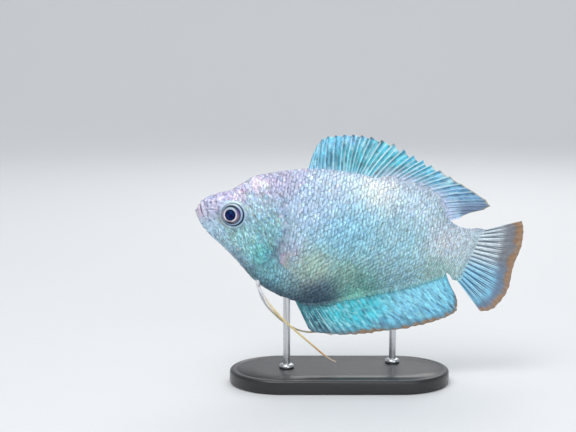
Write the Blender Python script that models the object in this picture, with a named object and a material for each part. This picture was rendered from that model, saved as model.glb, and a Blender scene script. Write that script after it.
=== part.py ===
"""A life-size dwarf gourami, a powder-blue male, swimming head-up on a plain display stand.

The fish is drawn in its own frame, in millimetres: s runs from the tip of the snout to the tail, y to
the fish's right, and h up, square to s. An empty named fish then sets it nose-up over the stand.
Blender's scene is in metres, +Z up, and the origin is the middle of the base's underside.
"""

import math

import bmesh
import bpy
import numpy as np
from mathutils import Matrix, Vector

MM = 0.001

# Driving sizes, in millimetres and degrees
NOSE_UP = 10.0
SNOUT_X = -32.4
SNOUT_Z = 39.9
GAP = 0.3
SWAY = 3.4
SWAY_FROM = 22.0
SWAY_TO = 74.0

# Body sections: s, top, bottom, half width, level of the widest point, and how the upper and the lower
# half narrow towards the crest (1 is an ellipse, more is a sharper edge)
BODY_SECTIONS = (
    (0.00, 0.00, -0.65, 0.45, -0.3, 1.00, 1.00),
    (0.35, 0.65, -1.30, 0.90, -0.3, 1.00, 1.00),
    (0.80, 1.50, -2.00, 1.20, -0.3, 1.00, 1.00),
    (1.40, 2.40, -2.85, 1.52, -0.3, 1.00, 1.00),
    (2.80, 3.55, -4.30, 2.10, -0.3, 1.00, 1.00),
    (5.20, 4.80, -6.15, 2.75, -0.3, 0.98, 1.02),
    (8.00, 6.50, -8.15, 3.40, -0.3, 0.98, 1.05),
    (11.0, 9.15, -10.3, 4.05, -0.3, 1.02, 1.05),
    (14.5, 10.8, -13.1, 4.60, -0.2, 1.08, 1.05),
    (19.0, 12.3, -15.5, 5.00, 0.0, 1.12, 1.05),
    (25.0, 13.7, -17.0, 5.20, 0.0, 1.15, 1.10),
    (31.0, 14.2, -16.6, 5.10, 0.2, 1.18, 1.25),
    (37.0, 14.2, -14.1, 4.75, 0.3, 1.20, 1.35),
    (43.0, 13.9, -11.7, 4.20, 0.4, 1.22, 1.40),
    (48.5, 13.3, -9.70, 3.55, 0.6, 1.25, 1.40),
    (52.6, 11.9, -7.80, 2.95, 0.6, 1.25, 1.35),
    (55.6, 8.05, -6.45, 2.40, 0.5, 1.20, 1.30),
    (57.0, 6.70, -5.80, 2.15, 0.4, 1.18, 1.25),
    (58.4, 6.15, -5.25, 1.85, 0.3, 1.15, 1.20),
    (60.0, 6.10, -5.10, 1.50, 0.1, 1.12, 1.15),
    (61.8, 6.60, -6.50, 1.15, 0.0, 1.10, 1.10),
)
TAIL_SLANT = 0.26
TAIL_SLANT_FROM = 52.0
TAIL_SLANT_TO = 61.8
BODY_RINGS = 46
BODY_SIDES = 36

# Head
EYE_AT = (8.4, 0.5)
EYE_RADIUS = 2.45
EYE_DEPTH = 1.5
EYE_OUT = 2.7
EYE_FORWARD = 13.0
NOSTRILS = ((3.1, 2.1, 0.42), (4.3, 2.5, 0.30))
MOUTH_TOP = (0.70, 1.45)
MOUTH_CORNER = (1.75, -0.95)
LIP_RADIUS = 0.50
LIP_CORNER_RADIUS = 0.28
LIP_SUNK = 0.28
LIP_RISE = 0.44
MOUTH_SLIT = 0.22
GILL_EDGE = (
    (13.2, 18.0),
    (14.4, 10.2),
    (17.0, 7.0),
    (19.2, 5.2),
    (20.1, 1.8),
    (20.2, -2.2),
    (19.2, -5.8),
    (16.9, -9.3),
    (14.0, -11.2),
    (11.6, -16.0),
)
GILL_COVER_FRONT = ((18.2, 5.4), (14.6, 4.6), (13.2, 1.4), (12.5, -2.4), (12.4, -5.8), (13.4, -8.6), (15.6, -9.9))
GILL_COVER_THICK = 0.8
GILL_COVER_PROUD = 0.22
PEDUNCLE_CUT = ((53.4, 14.0), (54.6, 4.0), (54.8, -1.0), (54.2, -10.0))

# Fins: each guide ray is its root's s, and its tip's s and h
DORSAL_GUIDES = (
    (23.4, 23.8, 16.8),
    (25.4, 25.0, 20.2),
    (28.9, 27.9, 21.7),
    (31.9, 31.7, 22.6),
    (34.2, 35.9, 22.9),
    (36.8, 41.1, 22.1),
    (40.7, 46.0, 20.4),
    (44.2, 50.4, 18.9),
    (48.4, 55.0, 17.0),
    (52.7, 61.2, 14.4),
    (54.9, 65.7, 11.8),
    (56.1, 61.6, 9.7),
    (57.2, 58.9, 7.9),
)
ANAL_GUIDES = (
    (25.9, 28.8, -21.0),
    (26.7, 30.3, -23.2),
    (28.2, 33.2, -23.3),
    (31.0, 37.3, -23.1),
    (34.8, 41.7, -22.1),
    (39.2, 46.5, -20.8),
    (44.0, 51.8, -19.2),
    (48.4, 56.8, -17.2),
    (52.2, 60.4, -15.3),
    (55.4, 62.5, -13.4),
    (57.3, 62.0, -10.4),
    (58.5, 60.4, -8.3),
)
# Guide rays of the tail fin: the root's h on the body's end, and the tip's s and h
CAUDAL_GUIDES = (
    (5.5, 73.4, 9.6),
    (4.6, 74.2, 7.6),
    (3.4, 74.5, 4.9),
    (2.0, 74.2, 1.8),
    (0.7, 73.6, -0.8),
    (-0.7, 73.6, -3.2),
    (-2.1, 73.5, -6.0),
    (-3.5, 72.5, -9.0),
    (-4.7, 70.6, -11.7),
    (-5.7, 68.0, -12.5),
)
# Pectoral fin, in its own plane: how far down the root, then the tip's distance back and up
PECTORAL_GUIDES = (
    (0.0, 9.4, 3.3),
    (0.2, 11.5, 1.5),
    (0.5, 11.7, -1.3),
    (0.8, 9.6, -4.0),
    (1.0, 6.4, -5.2),
)
PECTORAL_ROOT = (21.6, -7.0)
PECTORAL_ROOT_HEIGHT = 3.0
PECTORAL_OUT = 17.0
PECTORAL_CAMBER = 0.012
# How far the dorsal fin's margin falls behind each spine, as a share of its length, front to back
DORSAL_TEETH = ((0.0, 0.03), (0.28, 0.05), (0.42, 0.12), (0.55, 0.12), (0.63, 0.06), (0.7, 0.0), (1.0, 0.0))
DORSAL_RAYS = 25
ANAL_RAYS = 30
CAUDAL_RAYS = 16
PECTORAL_RAYS = 10
MEMBRANE = 0.5
RAY_AT_ROOT = 0.9
RAY_AT_TIP = 0.56

# Pelvic fins, each a long thread: s, how far out of the middle, and h
PELVIC_LEFT = (
    (16.9, 1.5, -14.9),
    (17.8, 2.2, -16.0),
    (19.4, 2.9, -17.6),
    (21.8, 3.5, -19.6),
    (25.2, 3.9, -21.9),
    (30.3, 4.1, -25.0),
    (34.5, 4.0, -27.5),
    (37.0, 3.8, -28.5),
)
PELVIC_RIGHT = (
    (16.9, 1.5, -14.9),
    (17.5, 2.4, -17.0),
    (19.2, 3.2, -19.5),
    (21.3, 3.8, -21.3),
    (24.0, 4.4, -23.1),
    (27.1, 4.8, -24.4),
    (30.2, 5.1, -24.7),
    (32.9, 5.4, -24.3),
    (35.8, 5.8, -24.6),
)
PELVIC_RADIUS = 0.42
PELVIC_TIP_RADIUS = 0.25

# Display stand
BASE_LENGTH = 50.0
BASE_WIDTH = 24.0
BASE_HEIGHT = 3.2
BASE_BEVEL = 0.7
FRONT_ROD_AT = (-12.0, 0.0)
FRONT_ROD_TOP = 22.4
REAR_ROD_AT = (12.5, 4.9)
REAR_ROD_TOP = 29.0
REAR_ROD_BEND = 2.2
REAR_ROD_TURN = 60.0
REAR_ROD_END = 2.5
ROD_RADIUS = 0.8
ROD_SIDES = 16
ROD_SOCKET_DEPTH = 1.8
COLLAR_RADIUS = 1.7
COLLAR_HEIGHT = 0.9

COLOURS = {
    "body": (0.50, 0.72, 0.80),
    "head": (0.66, 0.76, 0.82),
    "gill_cover": (0.36, 0.70, 0.70),
    "fin": (0.27, 0.68, 0.80),
    "tail_fin": (0.45, 0.66, 0.78),
    "clear_fin": (0.78, 0.82, 0.76),
    "thread": (0.90, 0.84, 0.68),
    "eye": (0.04, 0.06, 0.16),
    "base": (0.03, 0.03, 0.035),
    "rod": (0.62, 0.63, 0.65),
}


def smooth_step(x):
    x = np.clip(x, 0.0, 1.0)
    return x * x * (3.0 - 2.0 * x)


def spline(xs, ys):
    """A function that runs smoothly through the points: a natural cubic spline, one for each column."""
    xs = np.asarray(xs, float)
    ys = np.asarray(ys, float).reshape(len(xs), -1)
    step = np.diff(xs)[:, None]
    slope = np.diff(ys, axis=0) / step
    matrix = np.eye(len(xs))
    right = np.zeros_like(ys)
    for i in range(1, len(xs) - 1):
        matrix[i, i - 1 : i + 2] = step[i - 1, 0], 2 * (step[i - 1, 0] + step[i, 0]), step[i, 0]
        right[i] = 6 * (slope[i] - slope[i - 1])
    bend = np.linalg.solve(matrix, right)

    def at(x):
        x = np.clip(np.atleast_1d(np.asarray(x, float)), xs[0], xs[-1])
        i = np.clip(np.searchsorted(xs, x) - 1, 0, len(xs) - 2)
        wide = step[i]
        after = (xs[i + 1] - x)[:, None]
        before = (x - xs[i])[:, None]
        cubic = (bend[i] * after**3 + bend[i + 1] * before**3) / (6 * wide)
        straight = (ys[i] / wide - bend[i] * wide / 6) * after
        return cubic + straight + (ys[i + 1] / wide - bend[i + 1] * wide / 6) * before

    return at


def rows_between(guides, count):
    """That many rows, evenly spread along a smooth run through the guide rows."""
    return spline(range(len(guides)), guides)(np.linspace(0, len(guides) - 1, count))


section_at = spline(range(len(BODY_SECTIONS)), BODY_SECTIONS)
DENSE = section_at(np.linspace(0, len(BODY_SECTIONS) - 1, 1200))


def section(s):
    """The body's section at s: s, top, bottom, half width, widest level, upper and lower sharpness."""
    return np.array([np.interp(s, DENSE[:, 0], DENSE[:, i]) for i in range(DENSE.shape[1])])


def slanted(s, h):
    """s, once the body's end has been slanted, so that its top lies further back than its bottom."""
    share = smooth_step((s - TAIL_SLANT_FROM) / (TAIL_SLANT_TO - TAIL_SLANT_FROM))
    return s + TAIL_SLANT * share * h


def body_point(row, angle, shrink=0.0):
    """The point of the body's surface on a section's row, at an angle from the fish's right, upwards."""
    s, top, bottom, half_width, level, upper, lower = row
    up = math.sin(angle)
    out = math.cos(angle)
    power = upper if up > 0 else lower
    reach = (top - level) if up > 0 else (level - bottom)
    y = max(half_width - shrink, 0.2) * math.copysign(abs(out) ** power, out)
    h = level + max(reach - shrink, 0.2) * up
    return Vector((slanted(s, h), y, h))


def crest(sign):
    """The body's upper (sign 1) or lower (sign -1) edge, as rows of s and h."""
    points = [body_point(row, sign * math.pi / 2) for row in DENSE]
    return np.array([(p.x, p.z) for p in points])


TOP_EDGE = crest(1)
BOTTOM_EDGE = crest(-1)


def edge_h(edge, s):
    return float(np.interp(s, edge[:, 0], edge[:, 1]))


def flank_y(s, h):
    """How far the body's side stands out of the middle at s and h."""
    _, top, bottom, half_width, level, upper, lower = section(s)
    power = upper if h > level else lower
    reach = (top - level) if h > level else (level - bottom)
    return half_width * max(1 - ((h - level) / reach) ** 2, 0.0) ** (power / 2)


def sway(s):
    """How far the tail is swung towards the fish's right at s."""
    share = np.clip((s - SWAY_FROM) / (SWAY_TO - SWAY_FROM), 0.0, None)
    return SWAY * share * share


def material(name, metallic=0.0, roughness=0.45):
    made = bpy.data.materials.new(name)
    made.use_nodes = True
    shader = made.node_tree.nodes["Principled BSDF"]
    shader.inputs["Base Color"].default_value = (*COLOURS[name], 1.0)
    shader.inputs["Roughness"].default_value = roughness
    shader.inputs["Metallic"].default_value = metallic
    made.diffuse_color = (*COLOURS[name], 1.0)
    return made


def object_from(name, points, faces):
    mesh = bpy.data.meshes.new(name)
    mesh.from_pydata([tuple(p) for p in points], [], faces)
    obj = bpy.data.objects.new(name, mesh)
    bpy.context.scene.collection.objects.link(obj)
    return obj


def facing_out(obj):
    """Turns every face of a closed mesh outwards, and cuts each into triangles."""
    work = bmesh.new()
    work.from_mesh(obj.data)
    bmesh.ops.recalc_face_normals(work, faces=work.faces)
    bmesh.ops.triangulate(work, faces=work.faces)
    work.to_mesh(obj.data)
    work.free()
    return obj


def combine(obj, others, operation, solver="EXACT"):
    """Cuts other objects from obj, joins them to it, or keeps what they share, and removes them."""
    together = bpy.data.collections.new("operands")
    for other in others:
        together.objects.link(other)
    modifier = obj.modifiers.new("combine", "BOOLEAN")
    modifier.operand_type = "COLLECTION"
    modifier.collection = together
    modifier.operation = operation
    modifier.solver = solver
    graph = bpy.context.evaluated_depsgraph_get()
    made = bpy.data.meshes.new_from_object(obj.evaluated_get(graph))
    obj.modifiers.clear()
    obj.data = made
    for other in others:
        bpy.data.objects.remove(other)
    bpy.data.collections.remove(together)
    return obj


def copy_of(obj, name):
    made = obj.copy()
    made.data = obj.data.copy()
    made.name = name
    bpy.context.scene.collection.objects.link(made)
    return made


def closed_parts(obj, names):
    """Splits a mesh into its separate closed surfaces, and names the largest ones from front to back."""
    whole = bmesh.new()
    whole.from_mesh(obj.data)
    unseen = set(whole.faces)
    groups = []
    while unseen:
        front = [unseen.pop()]
        group = set(front)
        while front:
            for edge in front.pop().edges:
                fresh = [f for f in edge.link_faces if f in unseen]
                unseen.difference_update(fresh)
                group.update(fresh)
                front.extend(fresh)
        groups.append(group)
    groups.sort(key=lambda g: -sum(f.calc_area() for f in g))
    kept = sorted(groups[: len(names)], key=lambda g: sum(f.calc_center_median().x for f in g) / len(g))
    made = []
    for name, group in zip(names, kept):
        places = {}
        for face in group:
            for vert in face.verts:
                places.setdefault(vert, len(places))
        points = [v.co.copy() for v in places]
        faces = [[places[v] for v in face.verts] for face in group]
        made.append(object_from(name, points, faces))
    whole.free()
    bpy.data.objects.remove(obj)
    return made


def loft(name, shrink=0.0):
    """The whole body, from the snout to the root of the tail fin, as one closed surface."""
    rows = section_at(np.linspace(0, len(BODY_SECTIONS) - 1, BODY_RINGS))
    angles = [2 * math.pi * i / BODY_SIDES for i in range(BODY_SIDES)]
    points = [body_point(row, a, shrink) for row in rows for a in angles]
    faces = []
    for ring in range(BODY_RINGS - 1):
        for side in range(BODY_SIDES):
            after = (side + 1) % BODY_SIDES
            low, high = ring * BODY_SIDES, (ring + 1) * BODY_SIDES
            faces.append((low + side, low + after, high + after, high + side))
    for ring, outwards in ((0, -0.1), (BODY_RINGS - 1, 0.0)):
        start = ring * BODY_SIDES
        middle = sum((points[start + i] for i in range(BODY_SIDES)), Vector()) / BODY_SIDES
        points.append(middle + Vector((outwards, 0, 0)))
        for side in range(BODY_SIDES):
            faces.append((start + side, start + (side + 1) % BODY_SIDES, len(points) - 1))
    return facing_out(object_from(name, points, faces))


def prism(name, outline, y_low, y_high):
    """An outline in s and h, carried straight from y_low to y_high."""
    count = len(outline)
    points = [(s, y, h) for y in (y_low, y_high) for s, h in outline]
    faces = [tuple(range(count)), tuple(range(2 * count - 1, count - 1, -1))]
    faces += [(i, (i + 1) % count, count + (i + 1) % count, count + i) for i in range(count)]
    return facing_out(object_from(name, points, faces))


def slab(name, line, thick, y_low=-12.0, y_high=12.0):
    """A thin sheet through a line in s and h, carried along y, which parts what it cuts."""
    line = np.asarray(line, float)
    along = np.gradient(line, axis=0)
    along /= np.linalg.norm(along, axis=1)[:, None]
    aside = np.stack([-along[:, 1], along[:, 0]], axis=1) * thick / 2
    return prism(name, [*(line + aside), *(line - aside)[::-1]], y_low, y_high)


def ellipsoid(name, centre, radii, turn, segments=20, rings=12):
    """An ellipsoid with its pole along y, turned about the vertical by that many degrees."""
    obj = object_from(name, [], [])
    work = bmesh.new()
    bmesh.ops.create_uvsphere(work, u_segments=segments, v_segments=rings, radius=1.0)
    work.to_mesh(obj.data)
    work.free()
    shape = Matrix.Diagonal((*radii, 1)) @ Matrix.Rotation(math.pi / 2, 4, "X")
    obj.data.transform(Matrix.Translation(centre) @ Matrix.Rotation(math.radians(turn), 4, "Z") @ shape)
    return facing_out(obj)


def tube(name, points, radii, square_to=(0.0, 1.0, 0.0), sides=8):
    """A closed tube of changing radius along a smooth line that never runs the way square_to does."""
    points = np.asarray(points, float)
    along = np.gradient(points, axis=0)
    along /= np.linalg.norm(along, axis=1)[:, None]
    aside = np.cross(along, square_to)
    aside /= np.linalg.norm(aside, axis=1)[:, None]
    third = np.cross(along, aside)
    ring = [(math.cos(2 * math.pi * i / sides), math.sin(2 * math.pi * i / sides)) for i in range(sides)]
    corners = [p + r * (c * a + d * t) for p, r, a, t in zip(points, radii, aside, third) for c, d in ring]
    faces = []
    for k in range(len(points) - 1):
        for i in range(sides):
            j = (i + 1) % sides
            faces.append((k * sides + i, k * sides + j, (k + 1) * sides + j, (k + 1) * sides + i))
    faces.append(tuple(range(sides)))
    faces.append(tuple(range(len(corners) - 1, len(corners) - 1 - sides, -1)))
    return facing_out(object_from(name, corners, faces))


def lathe(name, profile, sides):
    """A turned solid about Z, from its profile of radius and height, bottom to top."""
    corners = []
    for radius, z in profile:
        for i in range(sides):
            angle = 2 * math.pi * i / sides
            corners.append((radius * math.cos(angle), radius * math.sin(angle), z))
    faces = [tuple(range(sides)), tuple(range(len(corners) - sides, len(corners)))]
    for k in range(len(profile) - 1):
        for i in range(sides):
            j = (i + 1) % sides
            faces.append((k * sides + i, k * sides + j, (k + 1) * sides + j, (k + 1) * sides + i))
    return facing_out(object_from(name, corners, faces))


def lip(name, rise, count=8):
    """A lip, along the line where a plane beside the mouth's own cuts the face, from corner to corner."""
    top, corner = np.array(MOUTH_TOP), np.array(MOUTH_CORNER)
    along = (corner - top) / np.linalg.norm(corner - top)
    square = np.array([-along[1], along[0]])
    line = [top + (corner - top) * share + square * rise for share in np.linspace(1, -0.5, 61)]
    inside = [p for p in line if p[1] < edge_h(TOP_EDGE, p[0]) - LIP_SUNK]
    chosen = [inside[i] for i in np.linspace(0, len(inside) - 1, count).round().astype(int)]
    left = [(s, -max(flank_y(s, h) - LIP_SUNK, 0.3), h) for s, h in chosen]
    right = [(s, -y, h) for s, y, h in reversed(left)]
    points = np.array([*left, *right])
    radii = np.interp(points[:, 2], (points[:, 2].min(), points[:, 2].max()), (LIP_CORNER_RADIUS, LIP_RADIUS))
    return tube(name, points, radii, (1.0, 0.0, 0.0))


def eye_centre(side):
    s, h = EYE_AT
    return Vector((s, side * EYE_OUT, h))


def add_mouth(head):
    """Joins the two lips to the head, then opens the line of the mouth between them."""
    combine(head, [lip("upper_lip", LIP_RISE), lip("lower_lip", -LIP_RISE)], "UNION")
    top, corner = np.array(MOUTH_TOP), np.array(MOUTH_CORNER)
    start = top - (corner - top)
    combine(head, [slab("mouth_line", (start, top, corner), MOUTH_SLIT, -3.0, 3.0)], "DIFFERENCE")


def cut_nostrils(head):
    pits = []
    for s, h, radius in NOSTRILS:
        for side in (-1, 1):
            centre = Vector((s, side * (flank_y(s, h) + 0.1), h))
            pits.append(ellipsoid("nostril", centre, (radius, 0.5, radius), 0, 10, 6))
    combine(head, pits, "DIFFERENCE")


def cut_eye_sockets(head):
    reach = (EYE_RADIUS + GAP, EYE_DEPTH + GAP, EYE_RADIUS + GAP)
    sockets = [ellipsoid("socket", eye_centre(side), reach, side * EYE_FORWARD) for side in (-1, 1)]
    combine(head, sockets, "DIFFERENCE")


def gill_cover_outline(grow):
    """The gill cover's outline: its front edge, grown by so much, closed well behind the gill slit."""
    middle = np.array((17.5, -2.5))
    front = np.array(GILL_COVER_FRONT)
    away = front - middle
    front = front + away / np.linalg.norm(away, axis=1)[:, None] * grow
    behind = [(24.0, -9.9 - grow), (24.0, 5.4 + grow)]
    return [tuple(p) for p in rows_between(front, 13)] + behind


def make_gill_covers(head):
    """Parts a thin curved plate from each side of the head, standing a little proud of it."""
    covers = []
    for side, name in ((-1, "gill_cover_left"), (1, "gill_cover_right")):
        ends = sorted((side * 1.0, side * 12.0))
        cover = combine(copy_of(head, "cover_blank"), [loft("core", GILL_COVER_THICK)], "DIFFERENCE")
        combine(cover, [prism("outline", gill_cover_outline(0.0), *ends)], "INTERSECT")
        cover.data.transform(Matrix.Translation((0, side * GILL_COVER_PROUD, 0)))
        covers += closed_parts(cover, [name])
        floor_of_pocket = loft("pocket_floor", GILL_COVER_THICK + GAP)
        pocket = prism("pocket", gill_cover_outline(GAP), *ends)
        combine(pocket, [floor_of_pocket], "DIFFERENCE")
        combine(head, closed_parts(pocket, ["pocket"]), "DIFFERENCE")
    return covers


def make_flesh():
    """The body, parted by thin cuts at the gill slits and before the root of the tail."""
    body = loft("body")
    gill_slit = slab("gill_slit", rows_between(GILL_EDGE, 25), GAP)
    stem_cut = slab("stem_cut", rows_between(PEDUNCLE_CUT, 7), GAP)
    combine(body, [gill_slit, stem_cut], "DIFFERENCE")
    head, trunk, stem = closed_parts(body, ["head", "trunk", "tail_stem"])
    covers = make_gill_covers(head)
    cut_eye_sockets(head)
    cut_nostrils(head)
    add_mouth(head)
    return [head, trunk, stem, *covers]


def ribbed_fin(name, roots, tips, place, steps=3, bow=0.0, notch=0.04, teeth=None):
    """A thin fin whose rays stand out of both faces as ridges.

    roots and tips hold each ray's ends in the fin's own plane, and place turns a point of that plane,
    with a distance out of it, into s, y and h. bow bends the rays, as a share of their length. The margin
    falls back by notch between two rays, and by each ray's teeth just before the next, like a saw's edge.
    Both faces have the same triangles.
    """
    teeth = [0.0] * len(roots) if teeth is None else teeth
    shares = np.linspace(0, 1, steps + 1)
    last = len(roots) - 1
    columns = []
    for ray in range(last + 1):
        columns += [(ray + shift, shift == 0.0) for shift in (-0.16, 0.0, 0.16, 0.5)]
    columns = [c for c in columns if 0 <= c[0] <= last]
    left, right = [], []
    for position, on_ray in columns:
        low = min(int(position), last - 1)
        part = position - low
        root = roots[low] * (1 - part) + roots[low + 1] * part
        tip = tips[low] * (1 - part) + tips[low + 1] * part
        fall = notch * math.sin(math.pi * part) + teeth[low] * (part if part < 1 - 1e-6 else 0.0)
        reach = (tip - root) * (1 - fall)
        aside = np.array([-reach[1], reach[0]]) * bow
        for share in shares:
            at = root + reach * share + aside * math.sin(math.pi * share)
            ray_thick = RAY_AT_ROOT + (RAY_AT_TIP - RAY_AT_ROOT) * share
            thick = (ray_thick if on_ray else MEMBRANE) / 2
            left.append(place(at, -thick))
            right.append(place(at, thick))
    return fin_solid(name, left, right, len(columns), steps + 1)


def fin_solid(name, left, right, columns, rows):
    """Closes two faces of columns and rows of points into one thin solid."""
    count = len(left)
    faces = []
    for c in range(columns - 1):
        for r in range(rows - 1):
            a = c * rows + r
            b, d, e = a + 1, a + rows, a + rows + 1
            for corners in ((a, b, e), (a, e, d)):
                faces.append(corners)
                faces.append(tuple(count + i for i in reversed(corners)))
    rim = [c * rows for c in range(columns)]
    rim += [(columns - 1) * rows + r for r in range(1, rows)]
    rim += [c * rows + rows - 1 for c in range(columns - 2, -1, -1)]
    rim += list(range(rows - 2, 0, -1))
    for i, j in zip(rim, rim[1:] + rim[:1]):
        faces.append((i, j, count + j))
        faces.append((i, count + j, count + i))
    return facing_out(object_from(name, left + right, faces))


def in_the_middle(at, out):
    """Places a point of a fin that stands in the fish's own middle plane."""
    return (at[0], out, at[1])


def lifted(root, tip):
    """The root, moved clear of the body by the gap, towards its tip."""
    away = tip - root
    return root + away / np.linalg.norm(away) * (GAP + 0.05)


def edge_fin(name, guides, edge, rays, bow, notch, teeth=None):
    """The dorsal or the anal fin, whose rays grow from the body's upper or lower edge."""
    rows = rows_between(guides, rays)
    tips = [np.array(row[1:]) for row in rows]
    roots = [lifted(np.array((row[0], edge_h(edge, row[0]))), tip) for row, tip in zip(rows, tips)]
    return ribbed_fin(name, roots, tips, in_the_middle, bow=bow, notch=notch, teeth=teeth)


def tail_fin(name):
    rows = rows_between(CAUDAL_GUIDES, CAUDAL_RAYS)
    end = DENSE[-1, 0]
    tips = [np.array(row[1:]) for row in rows]
    roots = [np.array((slanted(end, row[0]) + GAP, row[0])) for row in rows]
    return ribbed_fin(name, roots, tips, in_the_middle, steps=4, notch=0.03)


def pectoral_fin(name, side):
    """A fan that grows from the flank behind the gill cover and trails back, a little away from the body."""
    s, h = PECTORAL_ROOT
    root_y = max(flank_y(s, h + up) for up in (-PECTORAL_ROOT_HEIGHT / 2, 0, PECTORAL_ROOT_HEIGHT / 2))
    start = Vector((s, side * (root_y + GAP + RAY_AT_ROOT / 2 + 0.1), h))
    turn = Matrix.Rotation(side * math.radians(PECTORAL_OUT), 3, "Z")

    def place(at, out):
        camber = PECTORAL_CAMBER * at[0] * at[0]
        return start + turn @ Vector((at[0], out - side * camber, at[1]))

    rows = rows_between(PECTORAL_GUIDES, PECTORAL_RAYS)
    roots = [np.array((0.0, PECTORAL_ROOT_HEIGHT * (0.5 - row[0]))) for row in rows]
    tips = [np.array(row[1:]) for row in rows]
    return ribbed_fin(name, roots, tips, place, notch=0.05)


def pelvic_fin(name, guides, side):
    """A long thread that trails from the chest, thin to its tip."""
    rows = rows_between(guides, 22)
    points = [(s, side * out, h) for s, out, h in rows]
    radii = np.linspace(PELVIC_RADIUS, PELVIC_TIP_RADIUS, len(points))
    return tube(name, points, radii)


def into_fish(point):
    """Turns a point of the stand's frame into the fish's, both in millimetres."""
    turn = Matrix.Rotation(-math.radians(NOSE_UP), 3, "Y")
    return turn @ (Vector(point) - Vector((SNOUT_X, 0, SNOUT_Z)))


def front_rod_path():
    """Straight up from the base into the belly."""
    x, y = FRONT_ROD_AT
    return [(x, y, BASE_HEIGHT - ROD_SOCKET_DEPTH), (x, y, FRONT_ROD_TOP)]


def rear_rod_path():
    """Up beside the anal fin, then bent over into the fish's right flank."""
    x, y = REAR_ROD_AT
    turn = math.radians(REAR_ROD_TURN)
    rise = REAR_ROD_BEND * math.sin(turn) + REAR_ROD_END * math.cos(turn)
    bend_from = REAR_ROD_TOP - rise
    points = [(x, y, BASE_HEIGHT - ROD_SOCKET_DEPTH)]
    for angle in np.linspace(0, turn, 6):
        inwards = REAR_ROD_BEND * (1 - math.cos(angle))
        points.append((x, y - inwards, bend_from + REAR_ROD_BEND * math.sin(angle)))
    _, last_y, last_z = points[-1]
    points.append((x, last_y - REAR_ROD_END * math.sin(turn), last_z + REAR_ROD_END * math.cos(turn)))
    return points


def stand_base():
    """A flat plate with round ends and a bevelled edge."""
    half = BASE_WIDTH / 2
    straight = BASE_LENGTH / 2 - half
    corners = []
    for centre, start in ((straight, -math.pi / 2), (-straight, math.pi / 2)):
        for angle in np.linspace(start, start + math.pi, 17):
            corners.append((centre, math.cos(angle), math.sin(angle)))
    layers = ((half - BASE_BEVEL, 0.0), (half, BASE_BEVEL), (half, BASE_HEIGHT - BASE_BEVEL))
    layers += ((half - BASE_BEVEL, BASE_HEIGHT),)
    points = [(x + r * c, r * d, z) for r, z in layers for x, c, d in corners]
    count = len(corners)
    faces = [tuple(range(count)), tuple(range(3 * count, 4 * count))]
    for layer in range(len(layers) - 1):
        for i in range(count):
            j = (i + 1) % count
            low, high = layer * count, (layer + 1) * count
            faces.append((low + i, low + j, high + j, high + i))
    base = facing_out(object_from("stand_base", points, faces))
    sockets = []
    profile = ((ROD_RADIUS + GAP, BASE_HEIGHT - ROD_SOCKET_DEPTH - GAP), (ROD_RADIUS + GAP, BASE_HEIGHT + 1))
    for x, y in (FRONT_ROD_AT, REAR_ROD_AT):
        socket = lathe("socket", profile, ROD_SIDES)
        socket.data.transform(Matrix.Translation((x, y, 0)))
        sockets.append(socket)
    return combine(base, sockets, "DIFFERENCE")


def rod_tube(name, path, grow=0.0):
    """A round bar along a path, made thicker and longer by grow."""
    path = np.asarray(path, float)
    path[-1] += (path[-1] - path[-2]) / np.linalg.norm(path[-1] - path[-2]) * grow
    return tube(name, path, [ROD_RADIUS + grow] * len(path), (1.0, 0.0, 0.0), ROD_SIDES)


def stand_rod(name, path):
    """A rod with a collar just over the base, its foot in the base and its top in the fish."""
    start = BASE_HEIGHT + GAP
    profile = (
        (COLLAR_RADIUS, start),
        (COLLAR_RADIUS, start + COLLAR_HEIGHT * 0.6),
        (ROD_RADIUS + 0.15, start + COLLAR_HEIGHT),
    )
    collar = lathe("collar", profile, ROD_SIDES)
    collar.data.transform(Matrix.Translation((path[0][0], path[0][1], 0)))
    return combine(rod_tube(name, path), [collar], "UNION")


def rod_socket(path):
    """The hole that a rod needs in the fish, in the fish's frame before it sways."""
    hole = rod_tube("hole", path, GAP)
    for vertex in hole.data.vertices:
        vertex.co = into_fish(vertex.co)
        vertex.co.y -= float(sway(vertex.co.x))
    return hole


def swing(obj):
    """Swings the tail end of a piece of the fish aside."""
    for vertex in obj.data.vertices:
        vertex.co.y += float(sway(vertex.co.x))


def finish(obj, made_of, parent, angle=35.0):
    """Gives a piece its material, its parent, its size in metres, and round shading."""
    obj.data.transform(Matrix.Scale(MM, 4))
    obj.data.materials.clear()
    obj.data.materials.append(made_of)
    obj.parent = parent
    obj.data.shade_smooth()
    obj.data.set_sharp_from_angle(angle=math.radians(angle))


def clear_scene():
    for obj in list(bpy.data.objects):
        bpy.data.objects.remove(obj)


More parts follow.
